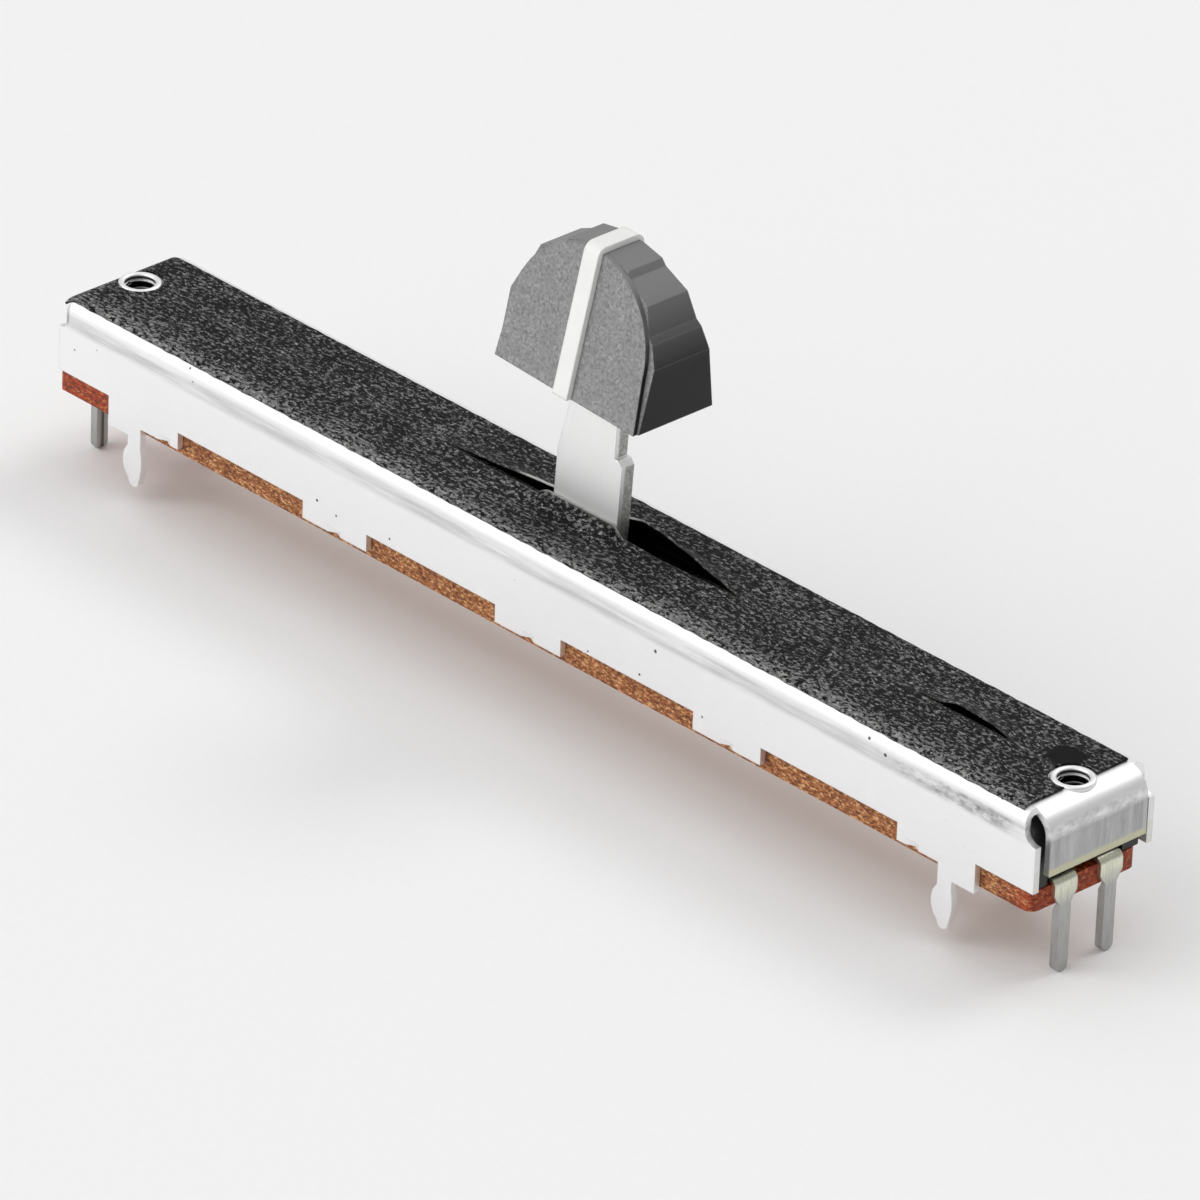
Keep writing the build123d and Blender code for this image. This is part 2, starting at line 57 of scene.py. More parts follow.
# Camera. A long lens, from the front right and above, a little rolled, as the photograph was taken.
# Lengths are in millimetres, from the middle of the cover's top face.
camera_turn = math.radians(45.404)
camera_rise = math.radians(28.655)
camera_roll = math.radians(2.26)
camera_distance = 626.448
camera_aside = 0.674
camera_below = 4.048
focal_pixels = 11960.242
photo_side = 1200
backward = Vector((
    math.sin(camera_turn) * math.cos(camera_rise),
    -math.cos(camera_turn) * math.cos(camera_rise),
    math.sin(camera_rise),
))
level = (-backward).cross(Vector((0, 0, 1))).normalized()
upright = level.cross(-backward)
camera_right = level * math.cos(camera_roll) + upright * math.sin(camera_roll)
camera_up = upright * math.cos(camera_roll) - level * math.sin(camera_roll)
camera_place = backward * camera_distance + level * camera_aside - upright * camera_below
camera_place.z += cover_top
lens = bpy.data.cameras.new("camera")
lens.sensor_width = 36
lens.lens = focal_pixels / photo_side * lens.sensor_width
lens.clip_start = 0.01
lens.clip_end = 50
camera = bpy.data.objects.new("camera", lens)
camera.matrix_world = (
    Matrix.Translation(camera_place / 1000)
    @ Matrix((camera_right, camera_up, backward)).transposed().to_4x4()
)
bpy.context.scene.collection.objects.link(camera)
bpy.context.scene.camera = camera


# Board: punched from laminated phenolic paper, with its copper-free top carrying the printed tracks.
# The punched edge is rough, with torn fibres from red-brown to ochre. The four tabs of the cover hold it.
def linear(code):
    """A colour written as sRGB hex, as linear red, green, blue and alpha."""
    parts = [int(code[i:i + 2], 16) / 255 for i in (1, 3, 5)]
    return tuple(c / 12.92 if c <= 0.04045 else ((c + 0.055) / 1.055) ** 2.4 for c in parts) + (1,)


def add(owner, kind, values=None, links=None, **settings):
    """Adds a node to a material, a world or a geometry tree, with its numbers, sources and settings."""
    tree = getattr(owner, "node_tree", owner)
    made = tree.nodes.new(kind)
    for name, value in settings.items():
        setattr(made, name, value)
    for place, value in (values or {}).items():
        made.inputs[place].default_value = value
    for place, source in (links or {}).items():
        tree.links.new(source, made.inputs[place])
    return made


# Phenolic paper laminate, punched: matt torn fibres on the edge, a satin skin on the two faces.
phenolic = bpy.data.materials.new("phenolic_paper_laminate_punched")
phenolic.use_nodes = True
place = add(phenolic, "ShaderNodeTexCoord").outputs["Object"]
axes = add(phenolic, "ShaderNodeSeparateXYZ", links={0: place})
# Fibre bundles in the torn edge are about 0.35 mm long and 0.15 mm high.
stretched = add(phenolic, "ShaderNodeMapping", {"Scale": (1, 1, 2.2)}, {"Vector": place})
fibres = add(
    phenolic, "ShaderNodeTexNoise", {"Scale": 2900, "Detail": 5, "Roughness": 0.65},
    {"Vector": stretched.outputs[0]},
)
flecks = add(
    phenolic, "ShaderNodeTexNoise", {"Scale": 3800, "Detail": 4, "Roughness": 0.65},
    {"Vector": stretched.outputs[0]},
)
light_fibre = add(
    phenolic, "ShaderNodeMapRange", {"From Min": 0.44, "From Max": 0.64}, {"Value": fibres.outputs[0]},
    interpolation_type="SMOOTHSTEP",
)
bright_fleck = add(
    phenolic, "ShaderNodeMapRange", {"From Min": 0.54, "From Max": 0.62}, {"Value": flecks.outputs[0]},
    interpolation_type="SMOOTHSTEP",
)
dark_fleck = add(
    phenolic, "ShaderNodeMapRange", {"From Min": 0.46, "From Max": 0.38}, {"Value": flecks.outputs[0]},
    interpolation_type="SMOOTHSTEP",
)
# The cut ends are redder: beyond 34 mm on the right, and from 31.6 mm on the left.
off_middle = add(phenolic, "ShaderNodeMath", {1: 0.0012}, {0: axes.outputs[0]}, operation="SUBTRACT")
far_out = add(phenolic, "ShaderNodeMath", links={0: off_middle.outputs[0]}, operation="ABSOLUTE")
near_end = add(
    phenolic, "ShaderNodeMapRange", {"From Min": 0.0328, "From Max": 0.0353}, {"Value": far_out.outputs[0]},
)
base = add(
    phenolic, "ShaderNodeMix", {6: linear("#894f2a"), 7: linear("#b57242")}, {0: light_fibre.outputs[0]},
    data_type="RGBA",
)
base_end = add(
    phenolic, "ShaderNodeMix", {6: linear("#8e2a0c"), 7: linear("#b84c1c")}, {0: light_fibre.outputs[0]},
    data_type="RGBA",
)
base = add(
    phenolic, "ShaderNodeMix", links={0: near_end.outputs[0], 6: base.outputs[2], 7: base_end.outputs[2]},
    data_type="RGBA",
)
fleck_share = add(
    phenolic, "ShaderNodeMapRange", {"To Min": 0.75, "To Max": 0.3}, {"Value": near_end.outputs[0]},
)
fleck_share = add(
    phenolic, "ShaderNodeMath", links={0: fleck_share.outputs[0], 1: bright_fleck.outputs[0]},
    operation="MULTIPLY",
)
base = add(
    phenolic, "ShaderNodeMix", {7: linear("#e4b881")}, {0: fleck_share.outputs[0], 6: base.outputs[2]},
    data_type="RGBA",
)
base = add(
    phenolic, "ShaderNodeMix", {7: linear("#56301c")}, {0: dark_fleck.outputs[0], 6: base.outputs[2]},
    data_type="RGBA",
)
torn = add(
    phenolic, "ShaderNodeBump", {"Strength": 0.5, "Distance": 0.00005}, {"Height": fibres.outputs[0]},
)
skin = phenolic.node_tree.nodes["Principled BSDF"]
skin.inputs["Roughness"].default_value = 0.55
skin.inputs["IOR"].default_value = 1.6
skin.inputs["Specular IOR Level"].default_value = 0.25
phenolic.node_tree.links.new(base.outputs[2], skin.inputs["Base Color"])
phenolic.node_tree.links.new(torn.outputs[0], skin.inputs["Normal"])
nodes["board"].data.materials[0] = phenolic


# Printed tracks: screen-printed on the board's upper face, carbon ink for the resistance and silver ink
# for the collector and the contacts at its two ends. The brush's fingers slide on them.
# The mesh of the printing screen leaves cells of about 0.1 mm.
for ink_name, dark, pale, roughness, metallic, printed in (
    ("carbon_ink_screen_printed", "#141414", "#262626", 0.5, 0, ("resistive_track",)),
    (
        "silver_ink_screen_printed", "#b4b2aa", "#d2d0c8", 0.45, 0.8,
        ("collector_track", "contact_print_left", "contact_print_right"),
    ),
):
    printed_ink = bpy.data.materials.new(ink_name)
    printed_ink.use_nodes = True
    place = add(printed_ink, "ShaderNodeTexCoord").outputs["Object"]
    cells = add(printed_ink, "ShaderNodeTexNoise", {"Scale": 9000, "Detail": 2}, {"Vector": place})
    cell_bump = add(
        printed_ink, "ShaderNodeBump", {"Strength": 0.3, "Distance": 0.00001}, {"Height": cells.outputs[0]},
    )
    tone = add(
        printed_ink, "ShaderNodeMix", {6: linear(dark), 7: linear(pale)}, {0: cells.outputs[0]},
        data_type="RGBA",
    )
    ink = printed_ink.node_tree.nodes["Principled BSDF"]
    ink.inputs["Roughness"].default_value = roughness
    ink.inputs["Metallic"].default_value = metallic
    printed_ink.node_tree.links.new(tone.outputs[2], ink.inputs["Base Color"])
    printed_ink.node_tree.links.new(cell_bump.outputs[0], ink.inputs["Normal"])
    for name in printed:
        nodes[name].data.materials[0] = printed_ink


# Terminals: blanked from brass strip, tin plated, folded over the board's end and down to flat pins.
# Their legs are pressed hollow along the middle. Each is riveted to its track through the board.
# Heights in the materials from here on are measured in metres, down from the cover's top.
top_level = cover_top / 1000
tinned_brass = bpy.data.materials.new("tin_plated_brass_blanked")
tinned_brass.use_nodes = True
place = add(tinned_brass, "ShaderNodeTexCoord").outputs["Object"]
axes = add(tinned_brass, "ShaderNodeSeparateXYZ", links={0: place})
# Drawing marks run along the pin, 0.08 mm apart and about a millimetre long.
along_pin = add(tinned_brass, "ShaderNodeMapping", {"Scale": (1, 1, 0.08)}, {"Vector": place})
marks = add(
    tinned_brass, "ShaderNodeTexNoise", {"Scale": 12000, "Detail": 3, "Roughness": 0.6},
    {"Vector": along_pin.outputs[0]},
)
# Where the strip is folded, down to 6.1 mm below that top, the plating is thin and shows the brass below
# as a faint yellow, and it is painted lighter than the pins there: a painted highlight on the fold.
at_fold = add(
    tinned_brass, "ShaderNodeMapRange", {"From Min": top_level - 0.0061, "From Max": top_level - 0.0051},
    {"Value": axes.outputs[2]},
)
tone = add(
    tinned_brass, "ShaderNodeMix", {6: linear("#b8b8b6"), 7: linear("#e6e7d4")}, {0: at_fold.outputs[0]},
    data_type="RGBA",
)
dull = add(
    tinned_brass, "ShaderNodeMapRange", {"From Min": 0.3, "From Max": 0.55, "To Min": 0.6},
    {"Value": marks.outputs[0]},
)
tone = add(
    tinned_brass, "ShaderNodeMix", {6: linear("#868682")}, {0: dull.outputs[0], 7: tone.outputs[2]},
    data_type="RGBA",
)
gloss = add(
    tinned_brass, "ShaderNodeMapRange", {"To Min": 0.3, "To Max": 0.44}, {"Value": marks.outputs[0]},
)
round_edge = add(tinned_brass, "ShaderNodeBevel", {"Radius": 0.00006}, samples=4)
mark_bump = add(
    tinned_brass, "ShaderNodeBump", {"Strength": 0.2, "Distance": 0.00001},
    {"Height": marks.outputs[0], "Normal": round_edge.outputs[0]},
)
plating = tinned_brass.node_tree.nodes["Principled BSDF"]
plating.inputs["Metallic"].default_value = 1
tinned_brass.node_tree.links.new(tone.outputs[2], plating.inputs["Base Color"])
tinned_brass.node_tree.links.new(gloss.outputs[0], plating.inputs["Roughness"])
tinned_brass.node_tree.links.new(mark_bump.outputs[0], plating.inputs["Normal"])
for name in ("terminal_left", "terminal_right_front", "terminal_right_rear"):
    nodes[name].data.materials[0] = tinned_brass

# Rivets: turned brass with a dull nickel flash, pushed through the terminals and the board.
# Their tails are hammered flat under the board, which leaves them a little uneven.
rivet_brass = bpy.data.materials.new("nickel_flashed_brass_headed")
rivet_brass.use_nodes = True
place = add(rivet_brass, "ShaderNodeTexCoord").outputs["Object"]
hammered = add(rivet_brass, "ShaderNodeTexNoise", {"Scale": 4000, "Detail": 3}, {"Vector": place})
tone = add(
    rivet_brass, "ShaderNodeMix", {6: linear("#b9ae8a"), 7: linear("#cfc8ae")}, {0: hammered.outputs[0]},
    data_type="RGBA",
)
head_bump = add(
    rivet_brass, "ShaderNodeBump", {"Strength": 0.3, "Distance": 0.00003}, {"Height": hammered.outputs[0]},
)
brass = rivet_brass.node_tree.nodes["Principled BSDF"]
brass.inputs["Metallic"].default_value = 1
brass.inputs["Roughness"].default_value = 0.35
rivet_brass.node_tree.links.new(tone.outputs[2], brass.inputs["Base Color"])
rivet_brass.node_tree.links.new(head_bump.outputs[0], brass.inputs["Normal"])
for name in ("rivet_left", "rivet_right_front", "rivet_right_rear"):
    nodes[name].data.materials[0] = rivet_brass


# Cover: one blank of bright tin-plated steel, 0.4 mm thick, folded to a channel with two end flaps.
# The dies leave drag marks below the long bends and on the flaps, and the plating has small pits.
screw_place = 35.5
tinplate = bpy.data.materials.new("tin_plated_steel_folded")
tinplate.use_nodes = True
place = add(tinplate, "ShaderNodeTexCoord").outputs["Object"]
axes = add(tinplate, "ShaderNodeSeparateXYZ", links={0: place})
# Rolling grain: lines along the body, 0.06 mm apart and 1 mm long.
along_body = add(tinplate, "ShaderNodeMapping", {"Scale": (0.06, 1, 1)}, {"Vector": place})
grain = add(
    tinplate, "ShaderNodeTexNoise", {"Scale": 16000, "Detail": 3, "Roughness": 0.6},
    {"Vector": along_body.outputs[0]},
)
# Waviness of the sheet, a few millimetres across.
wave = add(tinplate, "ShaderNodeTexNoise", {"Scale": 260, "Detail": 2}, {"Vector": place})
# The die leaves a dull stripe 0.8 to 1.6 mm below the top of the long walls, soft-edged and uneven along it.
along_stripe = add(tinplate, "ShaderNodeMapping", {"Scale": (0.1, 1, 1.6)}, {"Vector": place})
uneven = add(
    tinplate, "ShaderNodeTexNoise", {"Scale": 1500, "Detail": 4, "Roughness": 0.6},
    {"Vector": along_stripe.outputs[0]},
)
below_bend = add(
    tinplate, "ShaderNodeMapRange", {"From Min": top_level - 0.0019, "From Max": top_level - 0.0014},
    {"Value": axes.outputs[2]}, interpolation_type="SMOOTHSTEP",
)
above_stripe = add(
    tinplate, "ShaderNodeMapRange", {"From Min": top_level - 0.0007, "From Max": top_level - 0.0010},
    {"Value": axes.outputs[2]}, interpolation_type="SMOOTHSTEP",
)
stripe = add(
    tinplate, "ShaderNodeMath", links={0: below_bend.outputs[0], 1: above_stripe.outputs[0]},
    operation="MULTIPLY",
)
stripe_strength = add(
    tinplate, "ShaderNodeMapRange", {"From Min": 0.38, "From Max": 0.62, "To Min": 0.1, "To Max": 0.85},
    {"Value": uneven.outputs[0]},
)
dull_stripe = add(
    tinplate, "ShaderNodeMath", links={0: stripe.outputs[0], 1: stripe_strength.outputs[0]},
    operation="MULTIPLY",
)
# Near the right end the same stripe is scuffed darker, in blotches about 1 mm long and 0.4 mm high.
along_scuff = add(tinplate, "ShaderNodeMapping", {"Scale": (0.45, 1, 1)}, {"Vector": place})
scuffs = add(
    tinplate, "ShaderNodeTexNoise", {"Scale": 2300, "Detail": 5, "Roughness": 0.75},
    {"Vector": along_scuff.outputs[0]},
)
scuff_start = add(
    tinplate, "ShaderNodeMapRange", {"From Min": 0.025, "From Max": 0.031}, {"Value": axes.outputs[0]},
)
scuff_level = add(
    tinplate, "ShaderNodeMapRange", {"From Min": 0.42, "From Max": 0.66}, {"Value": scuffs.outputs[0]},
)
scuffed = add(
    tinplate, "ShaderNodeMath", links={0: scuff_start.outputs[0], 1: scuff_level.outputs[0]},
    operation="MULTIPLY",
)
scuffed = add(
    tinplate, "ShaderNodeMath", links={0: scuffed.outputs[0], 1: stripe.outputs[0]}, operation="MULTIPLY",
)
scuff_stop = add(
    tinplate, "ShaderNodeMapRange", {"From Min": 0.0358, "From Max": 0.0348}, {"Value": axes.outputs[0]},
)
scuffed = add(
    tinplate, "ShaderNodeMath", links={0: scuffed.outputs[0], 1: scuff_stop.outputs[0]}, operation="MULTIPLY",
)
# The end flaps, beyond 37.2 mm, are painted a duller grey all over, with faint upright streaks: the streaks
# are drag marks of the same dies, the grey is painted shade on the end faces.
upright_marks = add(tinplate, "ShaderNodeMapping", {"Scale": (1, 1, 0.12)}, {"Vector": place})
streaks = add(
    tinplate, "ShaderNodeTexNoise", {"Scale": 3000, "Detail": 3, "Roughness": 0.6},
    {"Vector": upright_marks.outputs[0]},
)
streak_tone = add(
    tinplate, "ShaderNodeMapRange", {"From Min": 0.35, "From Max": 0.65, "To Min": 0.7, "To Max": 0.95},
    {"Value": streaks.outputs[0]},
)
sideways = add(tinplate, "ShaderNodeMath", links={0: axes.outputs[0]}, operation="ABSOLUTE")
on_flap = add(
    tinplate, "ShaderNodeMapRange", {"From Min": 0.03715, "From Max": 0.03735},
    {"Value": sideways.outputs[0]},
)
low_flap = add(
    tinplate, "ShaderNodeMapRange", {"From Min": top_level - 0.0012, "From Max": top_level - 0.0016},
    {"Value": axes.outputs[2]},
)
flap_streaks_and_shade = add(
    tinplate, "ShaderNodeMath", links={0: on_flap.outputs[0], 1: low_flap.outputs[0]}, operation="MULTIPLY",
)
flap_streaks_and_shade = add(
    tinplate, "ShaderNodeMath", links={0: flap_streaks_and_shade.outputs[0], 1: streak_tone.outputs[0]},
    operation="MULTIPLY",
)
# The flaps' lower edge is lacquered with the board, cream yellow over 0.4 mm.
lacquer = add(
    tinplate, "ShaderNodeMapRange", {"From Min": top_level - 0.0031, "From Max": top_level - 0.0033},
    {"Value": axes.outputs[2]},
)
lacquer = add(
    tinplate, "ShaderNodeMath", links={0: lacquer.outputs[0], 1: on_flap.outputs[0]}, operation="MULTIPLY",
)
# Pits: one in each 1.1 mm at most, up to 0.2 mm across, larger in some places than in others.
pits = add(tinplate, "ShaderNodeTexVoronoi", {"Scale": 900, "Randomness": 1}, {"Vector": place})
pit_places = add(tinplate, "ShaderNodeTexNoise", {"Scale": 180, "Detail": 1}, {"Vector": place})
pit_size = add(
    tinplate, "ShaderNodeMapRange", {"From Min": 0.45, "From Max": 0.62, "To Min": 0.02, "To Max": 0.1},
    {"Value": pit_places.outputs[0]},
)
pit = add(
    tinplate, "ShaderNodeMath", links={0: pits.outputs["Distance"], 1: pit_size.outputs[0]},
    operation="LESS_THAN",
)
clean = add(
    tinplate, "ShaderNodeMix", {6: linear("#f3f3f4"), 7: linear("#fdfdfd")}, {0: grain.outputs[0]},
    data_type="RGBA",
)
# Inside the screw collars the tap has cut through the plating. The steel there is painted near black,
# less so on the thread crests: painted shade in the holes.
screw_side = add(
    tinplate, "ShaderNodeMath", {1: screw_place / 1000}, {0: sideways.outputs[0]}, operation="SUBTRACT",
)
screw_spot = add(tinplate, "ShaderNodeCombineXYZ", links={0: screw_side.outputs[0], 1: axes.outputs[1]})
from_screw = add(tinplate, "ShaderNodeVectorMath", links={0: screw_spot.outputs[0]}, operation="LENGTH")
in_collar = add(
    tinplate, "ShaderNodeMapRange", {"From Min": 0.00087, "From Max": 0.00083},
    {"Value": from_screw.outputs["Value"]},
)
on_crest = add(
    tinplate, "ShaderNodeMapRange", {"From Min": 0.00075, "From Max": 0.00071, "To Min": 1.0, "To Max": 0.55},
    {"Value": from_screw.outputs["Value"]},
)
collar_shade = add(
    tinplate, "ShaderNodeMath", links={0: in_collar.outputs[0], 1: on_crest.outputs[0]}, operation="MULTIPLY",
)
# Beside the slot, under the film's lips, the cover and the slot's punched edges are painted near black:
# painted shade seen in the gap between the lips.
across = add(tinplate, "ShaderNodeMath", links={0: axes.outputs[1]}, operation="ABSOLUTE")
beside_slot = add(
    tinplate, "ShaderNodeMapRange", {"From Min": 0.00205, "From Max": 0.002}, {"Value": across.outputs[0]},
)
along_slot = add(
    tinplate, "ShaderNodeMapRange", {"From Min": 0.0339, "From Max": 0.0338}, {"Value": sideways.outputs[0]},
)
slot_edge_shade = add(
    tinplate, "ShaderNodeMath", links={0: beside_slot.outputs[0], 1: along_slot.outputs[0]},
    operation="MULTIPLY",
)
tone = clean
for mark_code, mark in (
    ("#cdcdcf", dull_stripe), ("#8c8c8e", scuffed), ("#a6a6a6", flap_streaks_and_shade), ("#cccbb0", lacquer),
    ("#1c1b1a", collar_shade), ("#0c0c0c", slot_edge_shade), ("#6a6866", pit),
):
    tone = add(
        tinplate, "ShaderNodeMix", {7: linear(mark_code)}, {0: mark.outputs[0], 6: tone.outputs[2]},
        data_type="RGBA",
    )
gloss = add(tinplate, "ShaderNodeMapRange", {"To Min": 0.44, "To Max": 0.56}, {"Value": grain.outputs[0]})
round_edge = add(tinplate, "ShaderNodeBevel", {"Radius": 0.00008}, samples=4)
wave_bump = add(
    tinplate, "ShaderNodeBump", {"Strength": 0.25, "Distance": 0.0002},
    {"Height": wave.outputs[0], "Normal": round_edge.outputs[0]},
)
grain_bump = add(
    tinplate, "ShaderNodeBump", {"Strength": 0.3, "Distance": 0.00001},
    {"Height": grain.outputs[0], "Normal": wave_bump.outputs[0]},
)
plating = tinplate.node_tree.nodes["Principled BSDF"]
plating.inputs["Metallic"].default_value = 1
tinplate.node_tree.links.new(tone.outputs[2], plating.inputs["Base Color"])
tinplate.node_tree.links.new(gloss.outputs[0], plating.inputs["Roughness"])
tinplate.node_tree.links.new(grain_bump.outputs[0], plating.inputs["Normal"])
nodes["cover"].data.materials[0] = tinplate


# Screw threads: M2 by 0.4, cut in the two collars that are pressed down from the cover.
# One ridge of the cover's own steel winds down inside each collar, and a rounded bead stands round its mouth.
threads = bpy.data.node_groups.new("screw_threads", "GeometryNodeTree")
threads.interface.new_socket("Geometry", in_out="OUTPUT", socket_type="NodeSocketGeometry")
for socket_name, size in (
    ("Hole radius", 0.8), ("Pitch", 0.4), ("Turns", 2.5), ("Ridge", 0.1), ("Half spacing", screw_place),
    ("Low end", cover_top - 1.3), ("Bead radius", 1.03), ("Bead", 0.2), ("Bead height", 1.26),
):
    thread_size = threads.interface.new_socket(socket_name, in_out="INPUT", socket_type="NodeSocketFloat")
    thread_size.default_value = size
thread_material = threads.interface.new_socket("Steel", in_out="INPUT", socket_type="NodeSocketMaterial")

given = add(threads, "NodeGroupInput").outputs
height = add(threads, "ShaderNodeMath", links={0: given["Pitch"], 1: given["Turns"]}, operation="MULTIPLY")
height_m = add(threads, "ShaderNodeMath", {1: 0.001}, {0: height.outputs[0]}, operation="MULTIPLY")
radius_m = add(threads, "ShaderNodeMath", {1: 0.001}, {0: given["Hole radius"]}, operation="MULTIPLY")
ridge_m = add(threads, "ShaderNodeMath", {1: 0.001}, {0: given["Ridge"]}, operation="MULTIPLY")
spacing_m = add(threads, "ShaderNodeMath", {1: 0.001}, {0: given["Half spacing"]}, operation="MULTIPLY")
low_m = add(threads, "ShaderNodeMath", {1: 0.001}, {0: given["Low end"]}, operation="MULTIPLY")
helix = add(
    threads, "GeometryNodeCurveSpiral", {"Resolution": 28},
    {"Rotations": given["Turns"], "Start Radius": radius_m.outputs[0], "End Radius": radius_m.outputs[0],
     "Height": height_m.outputs[0]},
)
profile = add(threads, "GeometryNodeCurvePrimitiveCircle", {"Resolution": 4}, {"Radius": ridge_m.outputs[0]})
ridge = add(
    threads, "GeometryNodeCurveToMesh", {"Fill Caps": True},
    {"Curve": helix.outputs[0], "Profile Curve": profile.outputs[0]},
)
bead_m = add(threads, "ShaderNodeMath", {1: 0.001}, {0: given["Bead"]}, operation="MULTIPLY")
bead_radius_m = add(threads, "ShaderNodeMath", {1: 0.001}, {0: given["Bead radius"]}, operation="MULTIPLY")
bead_height_m = add(threads, "ShaderNodeMath", {1: 0.001}, {0: given["Bead height"]}, operation="MULTIPLY")
bead_path = add(
    threads, "GeometryNodeCurvePrimitiveCircle", {"Resolution": 64}, {"Radius": bead_radius_m.outputs[0]},
)
bead_profile = add(
    threads, "GeometryNodeCurvePrimitiveCircle", {"Resolution": 16}, {"Radius": bead_m.outputs[0]},
)
bead_ring = add(
    threads, "GeometryNodeCurveToMesh",
    links={"Curve": bead_path.outputs[0], "Profile Curve": bead_profile.outputs[0]},
)
bead_spot = add(threads, "ShaderNodeCombineXYZ", links={2: bead_height_m.outputs[0]})
bead_placed = add(
    threads, "GeometryNodeTransform", links={0: bead_ring.outputs[0], "Translation": bead_spot.outputs[0]},
)
bead_smooth = add(threads, "GeometryNodeSetShadeSmooth", links={0: bead_placed.outputs[0]})
collar = add(threads, "GeometryNodeJoinGeometry")
threads.links.new(ridge.outputs[0], collar.inputs[0])
threads.links.new(bead_smooth.outputs[0], collar.inputs[0])
side_places = []
for side in (-1, 1):
    sideways_m = add(threads, "ShaderNodeMath", {1: side}, {0: spacing_m.outputs[0]}, operation="MULTIPLY")
    spot = add(
        threads, "ShaderNodeCombineXYZ", links={0: sideways_m.outputs[0], 2: low_m.outputs[0]},
    )
    side_places.append(add(
        threads, "GeometryNodeTransform", links={0: collar.outputs[0], "Translation": spot.outputs[0]},
    ))
both = add(threads, "GeometryNodeJoinGeometry")
for one in side_places:
    threads.links.new(one.outputs[0], both.inputs[0])
real = add(threads, "GeometryNodeRealizeInstances", links={0: both.outputs[0]})
dressed = add(threads, "GeometryNodeSetMaterial", links={0: real.outputs[0], "Material": given["Steel"]})
add(threads, "NodeGroupOutput", links={0: dressed.outputs[0]})
thread_maker = bpy.data.objects.new("thread_maker", bpy.data.meshes.new("thread_maker"))
bpy.context.scene.collection.objects.link(thread_maker)
thread_modifier = thread_maker.modifiers.new("threads", "NODES")
thread_modifier.node_group = threads
thread_modifier[thread_material.identifier] = tinplate
bpy.context.view_layer.update()
thread_mesh = bpy.data.meshes.new_from_object(
    thread_maker.evaluated_get(bpy.context.evaluated_depsgraph_get()),
)
bpy.data.objects.remove(thread_maker)
screw_threads = bpy.data.objects.new("screw_threads", thread_mesh)
bpy.context.scene.collection.objects.link(screw_threads)
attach(screw_threads, "body")


# End stops: two moulded bridges of black nylon, clipped inside the cover behind its end flaps.
# They stop the carrier at the ends of its travel.
nylon = bpy.data.materials.new("black_nylon_moulded")
nylon.use_nodes = True
place = add(nylon, "ShaderNodeTexCoord").outputs["Object"]
# Spark-eroded mould texture of about 0.1 mm.
spark = add(nylon, "ShaderNodeTexNoise", {"Scale": 9000, "Detail": 2}, {"Vector": place})
tone = add(
    nylon, "ShaderNodeMix", {6: linear("#161616"), 7: linear("#242424")}, {0: spark.outputs[0]},
    data_type="RGBA",
)
spark_bump = add(
    nylon, "ShaderNodeBump", {"Strength": 0.3, "Distance": 0.00002}, {"Height": spark.outputs[0]},
)
plastic = nylon.node_tree.nodes["Principled BSDF"]
plastic.inputs["Roughness"].default_value = 0.5
plastic.inputs["IOR"].default_value = 1.53
nylon.node_tree.links.new(tone.outputs[2], plastic.inputs["Base Color"])
nylon.node_tree.links.new(spark_bump.outputs[0], plastic.inputs["Normal"])
for name in ("end_stop_left", "end_stop_right"):
    nodes[name].data.materials[0] = nylon


# Dust shield: black film with a pale core, glued on the cover in two strips whose edges meet over the slot.
# The outer part lies still. The free lips bulge, part round the lever in a lens, and gape near the right end.
film = bpy.data.materials.new("black_coated_polyester_film_embossed")
film.use_nodes = True
place = add(film, "ShaderNodeTexCoord").outputs["Object"]
axes = add(film, "ShaderNodeSeparateXYZ", links={0: place})
# Embossed grains lie along the body, 0.35 mm long and 0.2 mm wide, pale where the coat is rubbed.
lengthwise = add(
    film, "ShaderNodeMapping", {"Scale": (0.55, 1, 1), "Rotation": (0, 0, 0.12)}, {"Vector": place},
)
fibre = add(
    film, "ShaderNodeTexNoise", {"Scale": 5000, "Detail": 3, "Roughness": 0.7, "Distortion": 0.3},
    {"Vector": lengthwise.outputs[0]},
)
speck = add(
    film, "ShaderNodeTexNoise", {"Scale": 6500, "Detail": 2, "Roughness": 0.5},
    {"Vector": lengthwise.outputs[0]},
)
cloud = add(film, "ShaderNodeTexNoise", {"Scale": 300, "Detail": 3}, {"Vector": place})
# The coat is rubbed paler along the front edge, where it follows the bend, and in soft clouds all over.
rubbed = add(
    film, "ShaderNodeMapRange", {"From Min": -0.0026, "From Max": -0.0042, "To Max": 0.09},
    {"Value": axes.outputs[1]},
)
cloudy = add(
    film, "ShaderNodeMapRange", {"From Min": 0.3, "From Max": 0.7, "To Min": -0.02, "To Max": 0.02},
    {"Value": cloud.outputs[0]},
)
more = add(film, "ShaderNodeMath", links={0: rubbed.outputs[0], 1: cloudy.outputs[0]}, operation="ADD")
fibre_level = add(film, "ShaderNodeMath", links={0: fibre.outputs[0], 1: more.outputs[0]}, operation="ADD")
speck_level = add(film, "ShaderNodeMath", links={0: speck.outputs[0], 1: more.outputs[0]}, operation="ADD")
fibre_light = add(
    film, "ShaderNodeMapRange", {"From Min": 0.5, "From Max": 0.65}, {"Value": fibre_level.outputs[0]},
    interpolation_type="SMOOTHSTEP",
)
speck_light = add(
    film, "ShaderNodeMapRange", {"From Min": 0.6, "From Max": 0.7}, {"Value": speck_level.outputs[0]},
    interpolation_type="SMOOTHSTEP",
)
tone = add(
    film, "ShaderNodeMix", {6: linear("#0c0c0c"), 7: linear("#727272")}, {0: fibre_light.outputs[0]},
    data_type="RGBA",
)
